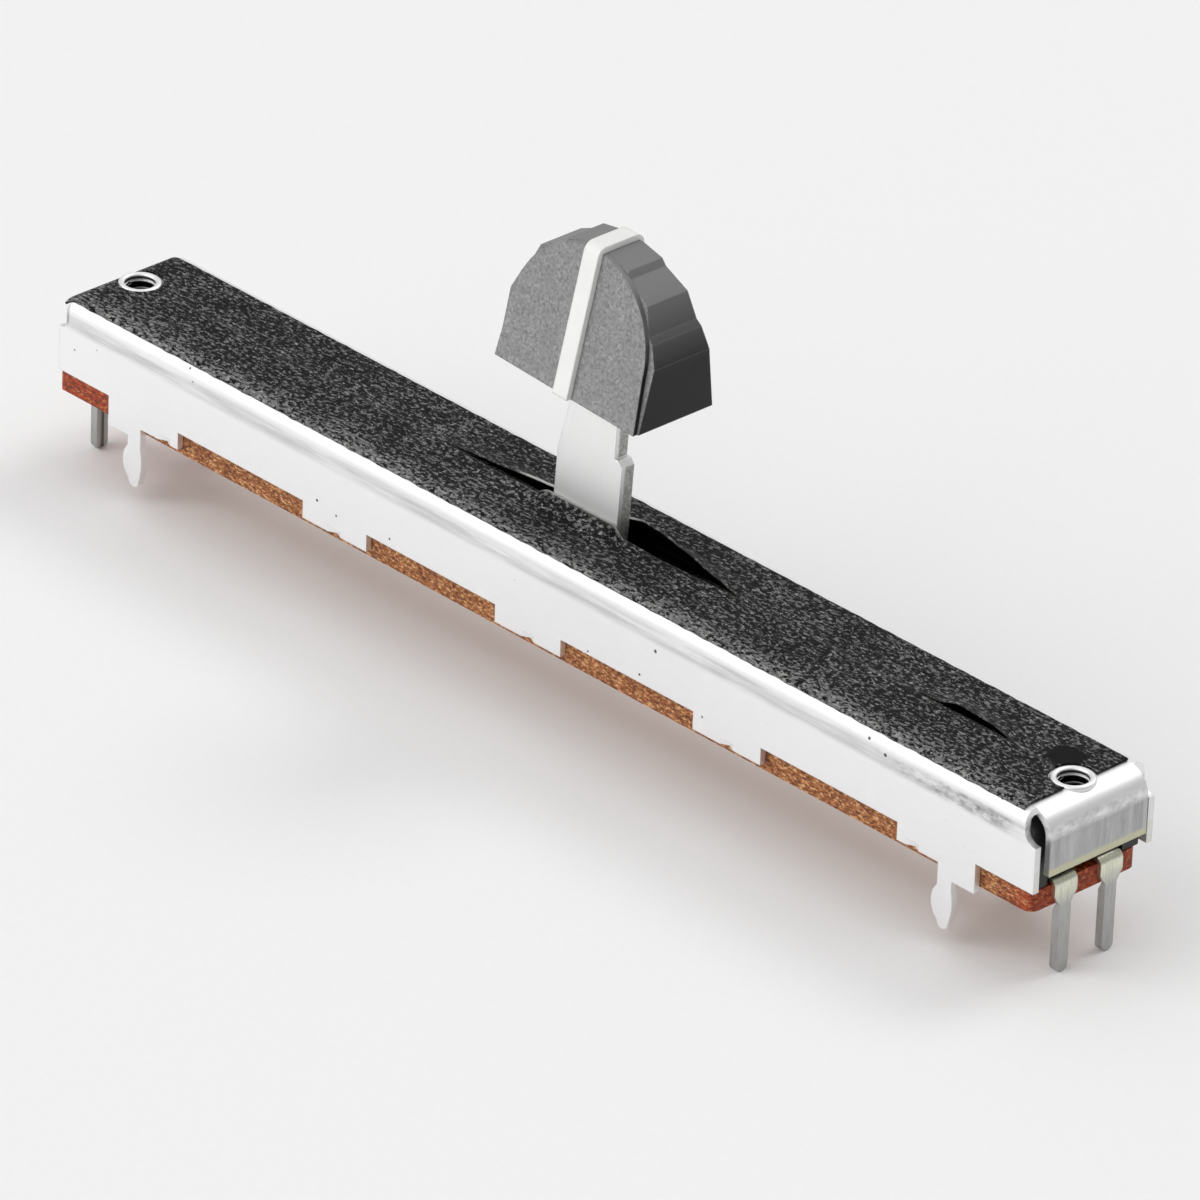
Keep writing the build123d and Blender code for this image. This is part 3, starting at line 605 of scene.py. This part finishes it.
# Behind the right screw hole the film is full black and without embossing, over 2 mm.
from_patch = add(
    film, "ShaderNodeVectorMath", {1: (0.0338, 0.0012, top_level)}, {0: place}, operation="DISTANCE",
)
patch_edge = add(
    film, "ShaderNodeMath", {1: 0.0006}, {0: speck.outputs[0], 2: from_patch.outputs["Value"]},
    operation="MULTIPLY_ADD",
)
patch = add(
    film, "ShaderNodeMapRange", {"From Min": 0.00165, "From Max": 0.00125}, {"Value": patch_edge.outputs[0]},
)
emboss = add(film, "ShaderNodeMapRange", {"To Min": 0.5, "To Max": 0.0}, {"Value": patch.outputs[0]})
# The cut edge of each lip is worn pale where the lever rubs it, and hardly at all elsewhere.
core = add(film, "ShaderNodeAttribute", attribute_name="cut_edge")
# The underside has no embossing and keeps its full black.
facing = add(film, "ShaderNodeNewGeometry")
facing_axes = add(film, "ShaderNodeSeparateXYZ", links={0: facing.outputs["True Normal"]})
underside = add(
    film, "ShaderNodeMapRange", {"From Min": 0.02, "From Max": -0.05}, {"Value": facing_axes.outputs[2]},
)
for mark_code, mark in (
    ("#949492", speck_light.outputs[0]), ("#050505", patch.outputs[0]), ("#c8c8c4", core.outputs["Fac"]),
    ("#050505", underside.outputs[0]),
):
    tone = add(film, "ShaderNodeMix", {7: linear(mark_code)}, {0: mark, 6: tone.outputs[2]}, data_type="RGBA")
fibre_bump = add(
    film, "ShaderNodeBump", {"Distance": 0.00004},
    {"Strength": emboss.outputs[0], "Height": fibre.outputs[0]},
)
skin = film.node_tree.nodes["Principled BSDF"]
skin.inputs["Roughness"].default_value = 0.6
skin.inputs["IOR"].default_value = 1.5
skin.inputs["Specular IOR Level"].default_value = 0.12
film.node_tree.links.new(tone.outputs[2], skin.inputs["Base Color"])
film.node_tree.links.new(fibre_bump.outputs[0], skin.inputs["Normal"])

# Sizes of the two strips, in millimetres, and the steps in which they are drawn.
film_top = cover_top + 0.16
film_thickness = 0.12
film_ends = (-37.0, 36.0)
film_hole_radius = 1.28
slit_half_length = 33.4
lip_root = 1.8
film_sides = {"front": (-1, 4.1), "rear": (1, 3.46)}
bend_start = 3.6
bend_radius = 0.7
end_bend_start = 36.0
end_bend_radius = 1.5
ragged_depth = 0.05
ragged_waves = 1.3
film_step = 0.25
end_step = 0.05
film_rows = 24


def film_height(x, y):
    """The film's level, over the flat top and down the bends that it follows."""
    past = max(0, abs(y) - bend_start)
    past_end = max(0, abs(x) - end_bend_start)
    drop = bend_radius - math.sqrt(max(0, bend_radius ** 2 - past ** 2))
    return film_top - drop - end_bend_radius + math.sqrt(end_bend_radius ** 2 - past_end ** 2)


def ragged(x):
    """How far the film's long cut edge strays from straight, drawn from a fixed noise."""
    return ragged_depth * noise.noise(Vector((x * ragged_waves, 0, 0)))


def sheet_of(name, columns):
    """A film's top face, from columns of points that all have as many rows."""
    mesh = bpy.data.meshes.new(name)
    rows = len(columns[0])
    points = [(x / 1000, y / 1000, z / 1000) for column in columns for x, y, z in column]
    faces = []
    for i in range(len(columns) - 1):
        for j in range(rows - 1):
            a = i * rows + j
            faces.append((a, a + rows, a + rows + 1, a + 1))
    mesh.from_pydata(points, [], faces)
    shape = bmesh.new()
    shape.from_mesh(mesh)
    bmesh.ops.remove_doubles(shape, verts=shape.verts, dist=1e-6)
    bmesh.ops.recalc_face_normals(shape, faces=shape.faces)
    if sum(face.normal.z for face in shape.faces) < 0:
        bmesh.ops.reverse_faces(shape, faces=shape.faces)
    shape.to_mesh(mesh)
    shape.free()
    mesh.polygons.foreach_set("use_smooth", [True] * len(mesh.polygons))
    piece = bpy.data.objects.new(name, mesh)
    bpy.context.scene.collection.objects.link(piece)
    mesh.materials.append(film)
    return piece


def thicken(piece):
    """Gives a film its thickness downwards."""
    wall = piece.modifiers.new("wall", "SOLIDIFY")
    wall.thickness = film_thickness / 1000
    wall.offset = -1
    bpy.context.view_layer.update()
    mesh = bpy.data.meshes.new_from_object(piece.evaluated_get(bpy.context.evaluated_depsgraph_get()))
    piece.modifiers.clear()
    piece.data = mesh


half_steps = int(slit_half_length / film_step)
film_steps = [i * film_step for i in range(-half_steps, half_steps + 1)]
for end in film_ends:
    fine_steps = round((abs(end) - slit_half_length) / end_step)
    film_steps += [math.copysign(slit_half_length + i * end_step, end) for i in range(fine_steps + 1)]
film_steps.sort()
for side_name, (side, film_edge) in film_sides.items():
    film_columns = []
    for x in film_steps:
        inner = lip_root if abs(x) < slit_half_length - 0.01 else 0
        if abs(abs(x) - screw_place) < film_hole_radius:
            inner = math.sqrt(film_hole_radius ** 2 - (abs(x) - screw_place) ** 2)
        film_columns.append([
            (x, side * y, film_height(x, y))
            for y in [inner + (film_edge + ragged(x) - inner) * j / film_rows for j in range(film_rows + 1)]
        ])
    dust_film = sheet_of("dust_film_" + side_name, film_columns)
    thicken(dust_film)
    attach(dust_film, "body")
    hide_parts("dust_lip_" + side_name)

# Along each lip: place, half of the gap between the lips, and how far the lip's edge stands up.
lip_shapes = {
    "front": [
        (-33.4, 0, 0.02), (-20, 0, 0.05), (-12.5, 0, 0.06), (-8, 0.12, 0.1), (-4, 0.44, 0.3),
        (-2.5, 0.53, 0.88),
        (2.2, 0.53, 0.9), (3.1, 0.5, 0.3), (6, 0.34, 0.12), (9, 0.16, 0.08), (11.6, 0, 0.05), (22, 0, 0.05),
        (25.4, 0.03, 0.1), (27, 0.14, 0.14), (29.5, 0.1, 0.12), (31.6, 0, 0.06), (33.4, 0, 0.02),
    ],
    "rear": [
        (-33.4, 0, 0.02), (-20, 0, 0.04), (-12.5, 0, 0.06), (-8, 0.24, 0.26), (-4, 0.5, 0.46),
        (-2.4, 0.53, 0.6),
        (1.9, 0.56, 0.86), (3, 1.0, 0.88), (4.2, 0.98, 0.84), (6.5, 0.72, 0.66), (9, 0.36, 0.36),
        (11.6, 0, 0.06),
        (22, 0, 0.05), (25.4, 0.1, 0.18), (27, 0.4, 0.42), (29.5, 0.3, 0.36), (31.6, 0, 0.1), (33.4, 0, 0.02),
    ],
}


def along_lip(shape, x):
    """Gap and rise of a lip at a place, eased from one given point to the next."""
    for (x0, gap0, rise0), (x1, gap1, rise1) in zip(shape, shape[1:]):
        if x0 <= x <= x1:
            t = (x - x0) / (x1 - x0)
            return gap0 + (gap1 - gap0) * t, rise0 + (rise1 - rise0) * (t * t * (3 - 2 * t))
    return 0, 0


# A lip starts a hair inside the still part and below it, and sweeps up to its free edge.
lip_steps = 167
lip_rows = 14
root_clear = 0.04
edge_clear = 0.01
lip_sink = 0.01
lip_sweep = 0.6
# The pale wear on its cut edge: how wide, over what length it fades, and how strong far off and at the lever.
worn_width = 0.1
worn_fade = 0.9
worn_least = 0.06
worn_more = 0.8
for side_name, (side, _) in film_sides.items():
    for end_name, end in (("left", -1), ("right", 1)):
        lip_columns = []
        for i in range(lip_steps + 1):
            x = end * slit_half_length * i / lip_steps
            gap, rise = along_lip(lip_shapes[side_name], x)
            column = []
            for j in range(lip_rows + 1):
                u = j / lip_rows
                y = lip_root + root_clear + (gap + edge_clear - lip_root - root_clear) * u
                z = film_top - lip_sink + rise * u * u * (1 + lip_sweep - lip_sweep * u)
                column.append((x, side * y, z))
            lip_columns.append(column)
        lip = sheet_of("dust_lip_" + side_name + "_" + end_name, lip_columns)
        cut_edge = lip.data.attributes.new("cut_edge", "FLOAT", "POINT")
        for vertex in lip.data.vertices:
            gap, rise = along_lip(lip_shapes[side_name], vertex.co.x * 1000)
            from_edge = abs(vertex.co.y) * 1000 - gap - edge_clear
            rubbed_to = 5.2 if (side_name, end_name) == ("rear", "left") else 2.4
            beside_lever = max(0, 1 - max(0, abs(vertex.co.x) * 1000 - rubbed_to) / worn_fade)
            wear_and_highlight = worn_least + worn_more * beside_lever
            cut_edge.data[vertex.index].value = max(0, 1 - from_edge / worn_width) * wear_and_highlight
        thicken(lip)
        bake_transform(lip)
        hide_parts("dust_lip_" + side_name)


# Slider: a moulded carrier of brown-black acetal that runs inside the cover, a bronze brush headed to it,
# and a steel leaf spring that gives the drag. Little of them shows between the lips.
acetal = bpy.data.materials.new("black_acetal_moulded")
acetal.use_nodes = True
place = add(acetal, "ShaderNodeTexCoord").outputs["Object"]
flow = add(acetal, "ShaderNodeTexNoise", {"Scale": 700, "Detail": 3}, {"Vector": place})
tone = add(
    acetal, "ShaderNodeMix", {6: linear("#0e0d0d"), 7: linear("#1c1a19")}, {0: flow.outputs[0]},
    data_type="RGBA",
)
flow_bump = add(
    acetal, "ShaderNodeBump", {"Strength": 0.15, "Distance": 0.00003}, {"Height": flow.outputs[0]},
)
plastic = acetal.node_tree.nodes["Principled BSDF"]
plastic.inputs["Roughness"].default_value = 0.4
plastic.inputs["IOR"].default_value = 1.48
acetal.node_tree.links.new(tone.outputs[2], plastic.inputs["Base Color"])
acetal.node_tree.links.new(flow_bump.outputs[0], plastic.inputs["Normal"])
nodes["slider_carrier"].data.materials[0] = acetal

# Rolling grain: lines along the strip, 0.07 mm apart and about a millimetre long.
for metal_name, dark, pale, roughness, strip in (
    ("phosphor_bronze_rolled", "#b98a56", "#d3a874", 0.28, "wiper_brush"),
    ("stainless_spring_steel_rolled", "#9a9a9a", "#b8b8b8", 0.25, "drag_spring"),
):
    rolled_metal = bpy.data.materials.new(metal_name)
    rolled_metal.use_nodes = True
    place = add(rolled_metal, "ShaderNodeTexCoord").outputs["Object"]
    rolled = add(rolled_metal, "ShaderNodeMapping", {"Scale": (0.08, 1, 1)}, {"Vector": place})
    grain = add(
        rolled_metal, "ShaderNodeTexNoise", {"Scale": 14000, "Detail": 2}, {"Vector": rolled.outputs[0]},
    )
    tone = add(
        rolled_metal, "ShaderNodeMix", {6: linear(dark), 7: linear(pale)}, {0: grain.outputs[0]},
        data_type="RGBA",
    )
    grain_bump = add(
        rolled_metal, "ShaderNodeBump", {"Strength": 0.2, "Distance": 0.00001}, {"Height": grain.outputs[0]},
    )
    metal = rolled_metal.node_tree.nodes["Principled BSDF"]
    metal.inputs["Metallic"].default_value = 1
    metal.inputs["Roughness"].default_value = roughness
    rolled_metal.node_tree.links.new(tone.outputs[2], metal.inputs["Base Color"])
    rolled_metal.node_tree.links.new(grain_bump.outputs[0], metal.inputs["Normal"])
    nodes[strip].data.materials[0] = rolled_metal


# Lever: blanked from 0.9 mm steel and nickel plated, with a rounded die-roll edge on its front face.
# Its sides show the smooth cut and then the rough break. Its foot is moulded into the carrier.
nickel = bpy.data.materials.new("nickel_plated_steel_blanked")
nickel.use_nodes = True
place = add(nickel, "ShaderNodeTexCoord").outputs["Object"]
# Rolling lines up the lever: 0.14 mm apart, about 3 mm long.
up_lever = add(nickel, "ShaderNodeMapping", {"Scale": (1, 1, 0.05)}, {"Vector": place})
lines = add(
    nickel, "ShaderNodeTexNoise", {"Scale": 7000, "Detail": 2, "Roughness": 0.6},
    {"Vector": up_lever.outputs[0]},
)
smudge_and_shade_mottle = add(nickel, "ShaderNodeTexNoise", {"Scale": 500, "Detail": 4}, {"Vector": place})
facing = add(nickel, "ShaderNodeNewGeometry")
facing_axes = add(nickel, "ShaderNodeSeparateXYZ", links={0: facing.outputs["True Normal"]})
to_side = add(nickel, "ShaderNodeMath", links={0: facing_axes.outputs[0]}, operation="ABSOLUTE")
on_side = add(nickel, "ShaderNodeMapRange", {"From Min": 0.7, "From Max": 0.9}, {"Value": to_side.outputs[0]})
axes = add(nickel, "ShaderNodeSeparateXYZ", links={0: place})
broken = add(nickel, "ShaderNodeTexNoise", {"Scale": 5200, "Detail": 4, "Roughness": 0.7}, {"Vector": place})
break_line = add(
    nickel, "ShaderNodeMath", {1: 0.0005}, {0: broken.outputs[0]}, operation="MULTIPLY",
)
break_depth = add(
    nickel, "ShaderNodeMath", links={0: axes.outputs[1], 1: break_line.outputs[0]}, operation="ADD",
)
in_break = add(
    nickel, "ShaderNodeMapRange", {"From Min": 0.0, "From Max": 0.0001}, {"Value": break_depth.outputs[0]},
)
rough_side = add(
    nickel, "ShaderNodeMath", links={0: on_side.outputs[0], 1: in_break.outputs[0]}, operation="MULTIPLY",
)
tone = add(
    nickel, "ShaderNodeMix", {6: linear("#f8f8f7"), 7: linear("#ffffff")}, {0: lines.outputs[0]},
    data_type="RGBA",
)
# Towards the foot the plating is darkened a little in a mottle: partly smudges, partly painted shade, the
# floor's shadow reflected in it.
low_down = add(
    nickel, "ShaderNodeMapRange",
    {"From Min": top_level + 0.003, "From Max": top_level + 0.0003, "To Max": 0.05},
    {"Value": axes.outputs[2]},
)
foot_smudge_and_shade = add(
    nickel, "ShaderNodeMath", links={0: low_down.outputs[0], 1: smudge_and_shade_mottle.outputs[0]}, operation="MULTIPLY",
)
tone = add(
    nickel, "ShaderNodeMix", {7: linear("#8c8c8c")}, {0: foot_smudge_and_shade.outputs[0], 6: tone.outputs[2]},
    data_type="RGBA",
)
broken_dark = add(
    nickel, "ShaderNodeMapRange", {"From Min": 0.35, "From Max": 0.65}, {"Value": broken.outputs[0]},
)
broken_tone = add(
    nickel, "ShaderNodeMix", {6: linear("#a6a6a4"), 7: linear("#dededc")}, {0: broken_dark.outputs[0]},
    data_type="RGBA",
)
tone = add(
    nickel, "ShaderNodeMix", links={0: rough_side.outputs[0], 6: tone.outputs[2], 7: broken_tone.outputs[2]},
    data_type="RGBA",
)
gloss = add(nickel, "ShaderNodeMapRange", {"To Min": 0.5, "To Max": 0.62}, {"Value": rough_side.outputs[0]})
round_edge = add(nickel, "ShaderNodeBevel", {"Radius": 0.00012}, samples=4)
line_bump = add(
    nickel, "ShaderNodeBump", {"Strength": 0.08, "Distance": 0.00001},
    {"Height": lines.outputs[0], "Normal": round_edge.outputs[0]},
)
break_bump = add(
    nickel, "ShaderNodeBump", {"Distance": 0.00004},
    {"Strength": rough_side.outputs[0], "Height": broken.outputs[0], "Normal": line_bump.outputs[0]},
)
plating = nickel.node_tree.nodes["Principled BSDF"]
plating.inputs["Metallic"].default_value = 1
nickel.node_tree.links.new(tone.outputs[2], plating.inputs["Base Color"])
nickel.node_tree.links.new(gloss.outputs[0], plating.inputs["Roughness"])
nickel.node_tree.links.new(break_bump.outputs[0], plating.inputs["Normal"])
nodes["lever"].data.materials[0] = nickel


# Knob: moulded grey ABS, pushed on the lever. The front and rear cheeks have a fine spark texture.
# The finger ribs at its two ends are smoother, and are painted darker towards the bottom: painted shade.
grey_abs = bpy.data.materials.new("grey_abs_moulded")
grey_abs.use_nodes = True
place = add(grey_abs, "ShaderNodeTexCoord").outputs["Object"]
knob_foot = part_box("knob")[0][2]
knob_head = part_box("knob")[1][2]
facing = add(grey_abs, "ShaderNodeNewGeometry")
facing_axes = add(grey_abs, "ShaderNodeSeparateXYZ", links={0: facing.outputs["True Normal"]})
to_front = add(grey_abs, "ShaderNodeMath", links={0: facing_axes.outputs[1]}, operation="ABSOLUTE")
on_cheek = add(
    grey_abs, "ShaderNodeMapRange", {"From Min": 0.85, "From Max": 0.95}, {"Value": to_front.outputs[0]},
)
# Spark texture: craters of 0.15 mm, coarser than real ones, so that they show.
craters = add(
    grey_abs, "ShaderNodeTexNoise", {"Scale": 6000, "Detail": 3, "Roughness": 0.6}, {"Vector": place},
)
mottle = add(
    grey_abs, "ShaderNodeTexNoise", {"Scale": 1500, "Detail": 3, "Roughness": 0.6}, {"Vector": place},
)
mottle_tone = add(
    grey_abs, "ShaderNodeMapRange", {"From Min": 0.3, "From Max": 0.7}, {"Value": craters.outputs[0]},
)
cheek = add(
    grey_abs, "ShaderNodeMix", {6: linear("#6e6e6e"), 7: linear("#aaaaaa")}, {0: mottle_tone.outputs[0]},
    data_type="RGBA",
)
soft_mottle = add(
    grey_abs, "ShaderNodeMapRange", {"From Min": 0.35, "From Max": 0.65, "To Max": 0.4},
    {"Value": mottle.outputs[0]},
)
cheek = add(
    grey_abs, "ShaderNodeMix", {7: linear("#7c7c7c")}, {0: soft_mottle.outputs[0], 6: cheek.outputs[2]},
    data_type="RGBA",
)
# The ribs are painted darker towards the bottom, as painted shade, and paler along their corners,
# as a painted highlight.
knob_axes = add(grey_abs, "ShaderNodeSeparateXYZ", links={0: place})
rib_height = add(
    grey_abs, "ShaderNodeMapRange", {"From Min": knob_foot + 0.0031, "From Max": knob_head - 0.0006},
    {"Value": knob_axes.outputs[2]},
)
rib = add(
    grey_abs, "ShaderNodeMix", {6: linear("#090909"), 7: linear("#7c7c7c")}, {0: rib_height.outputs[0]},
    data_type="RGBA",
)
# The undersides of the grooves, facing down, are painted darker: painted shade.
groove_underside_shade = add(
    grey_abs, "ShaderNodeMapRange", {"From Min": 0.1, "From Max": -0.1, "To Max": 0.75},
    {"Value": facing_axes.outputs[2]},
)
rib = add(
    grey_abs, "ShaderNodeMix", {7: linear("#0c0c0c")}, {0: groove_underside_shade.outputs[0], 6: rib.outputs[2]},
    data_type="RGBA",
)
# The pale corners are a painted highlight, where the rounded-edge normal turns from the true normal.
wide_edge = add(grey_abs, "ShaderNodeBevel", {"Radius": 0.0001}, samples=4)
edge_turn = add(
    grey_abs, "ShaderNodeVectorMath", links={0: wide_edge.outputs[0], 1: facing.outputs["True Normal"]},
    operation="DOT_PRODUCT",
)
wear_and_highlight = add(
    grey_abs, "ShaderNodeMapRange", {"From Min": 0.995, "From Max": 0.95, "To Max": 0.65},
    {"Value": edge_turn.outputs["Value"]},
)
rib = add(
    grey_abs, "ShaderNodeMix", {7: linear("#8a8a8a")}, {0: wear_and_highlight.outputs[0], 6: rib.outputs[2]},
    data_type="RGBA",
)
tone = add(
    grey_abs, "ShaderNodeMix", links={0: on_cheek.outputs[0], 6: rib.outputs[2], 7: cheek.outputs[2]},
    data_type="RGBA",
)
gloss = add(grey_abs, "ShaderNodeMapRange", {"To Min": 0.45, "To Max": 0.75}, {"Value": on_cheek.outputs[0]})
round_edge = add(grey_abs, "ShaderNodeBevel", {"Radius": 0.00008}, samples=4)
crater_depth = add(
    grey_abs, "ShaderNodeMapRange", {"To Min": 0.1, "To Max": 0.6}, {"Value": on_cheek.outputs[0]},
)
crater_bump = add(
    grey_abs, "ShaderNodeBump", {"Distance": 0.00003},
    {"Strength": crater_depth.outputs[0], "Height": craters.outputs[0], "Normal": round_edge.outputs[0]},
)
plastic = grey_abs.node_tree.nodes["Principled BSDF"]
plastic.inputs["IOR"].default_value = 1.53
plastic.inputs["Specular IOR Level"].default_value = 0.28
grey_abs.node_tree.links.new(tone.outputs[2], plastic.inputs["Base Color"])
grey_abs.node_tree.links.new(gloss.outputs[0], plastic.inputs["Roughness"])
grey_abs.node_tree.links.new(crater_bump.outputs[0], plastic.inputs["Normal"])
nodes["knob"].data.materials[0] = grey_abs


# Pointer: a ridge of glossy white ABS, moulded into the groove over the knob's front, top and back.
# It stands a little proud, with rounded corners.
white_abs = bpy.data.materials.new("white_abs_moulded_glossy")
white_abs.use_nodes = True
place = add(white_abs, "ShaderNodeTexCoord").outputs["Object"]
ripple = add(white_abs, "ShaderNodeTexNoise", {"Scale": 900, "Detail": 2}, {"Vector": place})
tone = add(
    white_abs, "ShaderNodeMix", {6: linear("#e9e9e7"), 7: linear("#f2f2f0")}, {0: ripple.outputs[0]},
    data_type="RGBA",
)
round_edge = add(white_abs, "ShaderNodeBevel", {"Radius": 0.0002}, samples=4)
ripple_bump = add(
    white_abs, "ShaderNodeBump", {"Strength": 0.1, "Distance": 0.00003},
    {"Height": ripple.outputs[0], "Normal": round_edge.outputs[0]},
)
plastic = white_abs.node_tree.nodes["Principled BSDF"]
plastic.inputs["IOR"].default_value = 1.53
plastic.inputs["Roughness"].default_value = 0.34
white_abs.node_tree.links.new(tone.outputs[2], plastic.inputs["Base Color"])
white_abs.node_tree.links.new(ripple_bump.outputs[0], plastic.inputs["Normal"])
nodes["knob_pointer"].data.materials[0] = white_abs


# Studio: a pale matt floor, a sky that is darker low down at the right, and three soft lamps: low in front,
# at the front left and behind. The low one lights the long wall, the sky lets the flap and ribs go dark.
# None of it belongs to the object.
paper = bpy.data.materials.new("pale_paper_matt")
paper.use_nodes = True
place = add(paper, "ShaderNodeTexCoord").outputs["Object"]
tooth = add(paper, "ShaderNodeTexNoise", {"Scale": 2500, "Detail": 3}, {"Vector": place})
tone = add(
    paper, "ShaderNodeMix", {6: linear("#f1f1f1"), 7: linear("#f5f5f5")}, {0: tooth.outputs[0]},
    data_type="RGBA",
)
sheet = paper.node_tree.nodes["Principled BSDF"]
sheet.inputs["Roughness"].default_value = 0.9
sheet.inputs["Specular IOR Level"].default_value = 0.1
paper.node_tree.links.new(tone.outputs[2], sheet.inputs["Base Color"])
floor_mesh = bpy.data.meshes.new("floor")
floor_radius = 3
rim_radius = 3.3
rim_height = 0.5
sides = 48
rim = [(math.cos(math.tau * i / sides), math.sin(math.tau * i / sides)) for i in range(sides)]
floor_mesh.from_pydata(
    [(floor_radius * x, floor_radius * y, 0) for x, y in rim]
    + [(rim_radius * x, rim_radius * y, rim_height) for x, y in rim],
    [],
    [list(range(sides))] + [(i, (i + 1) % sides, sides + (i + 1) % sides, sides + i) for i in range(sides)],
)
floor_mesh.materials.append(paper)
floor = bpy.data.objects.new("floor", floor_mesh)
bpy.context.scene.collection.objects.link(floor)

world = bpy.data.worlds.new("soft_sky")
bpy.context.scene.world = world
world.use_nodes = True
sky_place = add(world, "ShaderNodeTexCoord").outputs["Generated"]
sky_axes = add(world, "ShaderNodeSeparateXYZ", links={0: sky_place})
sky_rise = add(
    world, "ShaderNodeMapRange", {"From Min": 0.0, "From Max": 0.75, "To Min": 0.5, "To Max": 0.78},
    {"Value": sky_axes.outputs[2]}, interpolation_type="SMOOTHSTEP",
)
to_right = add(
    world, "ShaderNodeMapRange", {"From Min": 0.2, "From Max": 0.85, "To Min": 1.0, "To Max": 0.35},
    {"Value": sky_axes.outputs[0]}, interpolation_type="SMOOTHSTEP",
)
sky_light = add(
    world, "ShaderNodeMath", links={0: sky_rise.outputs[0], 1: to_right.outputs[0]}, operation="MULTIPLY",
)
sky = world.node_tree.nodes["Background"]
sky.inputs["Color"].default_value = linear("#ffffff")
world.node_tree.links.new(sky_light.outputs[0], sky.inputs["Strength"])
for lamp_name, spot, size, power in (
    ("low_front_lamp", (-0.45, -1.2, 0.75), 1.7, 8.0),
    ("front_left_lamp", (-0.55, -0.75, 0.5), 0.7, 1.2),
    ("rear_lamp", (0.1, 0.7, 0.9), 0.5, 2.6),
):
    lamp_data = bpy.data.lights.new(lamp_name, "AREA")
    lamp_data.shape = "DISK"
    lamp_data.size = size
    lamp_data.energy = power
    lamp = bpy.data.objects.new(lamp_name, lamp_data)
    lamp.location = spot
    lamp.rotation_euler = Vector(spot).to_track_quat("Z", "Y").to_euler()
    bpy.context.scene.collection.objects.link(lamp)
bpy.context.scene.view_settings.view_transform = "Standard"
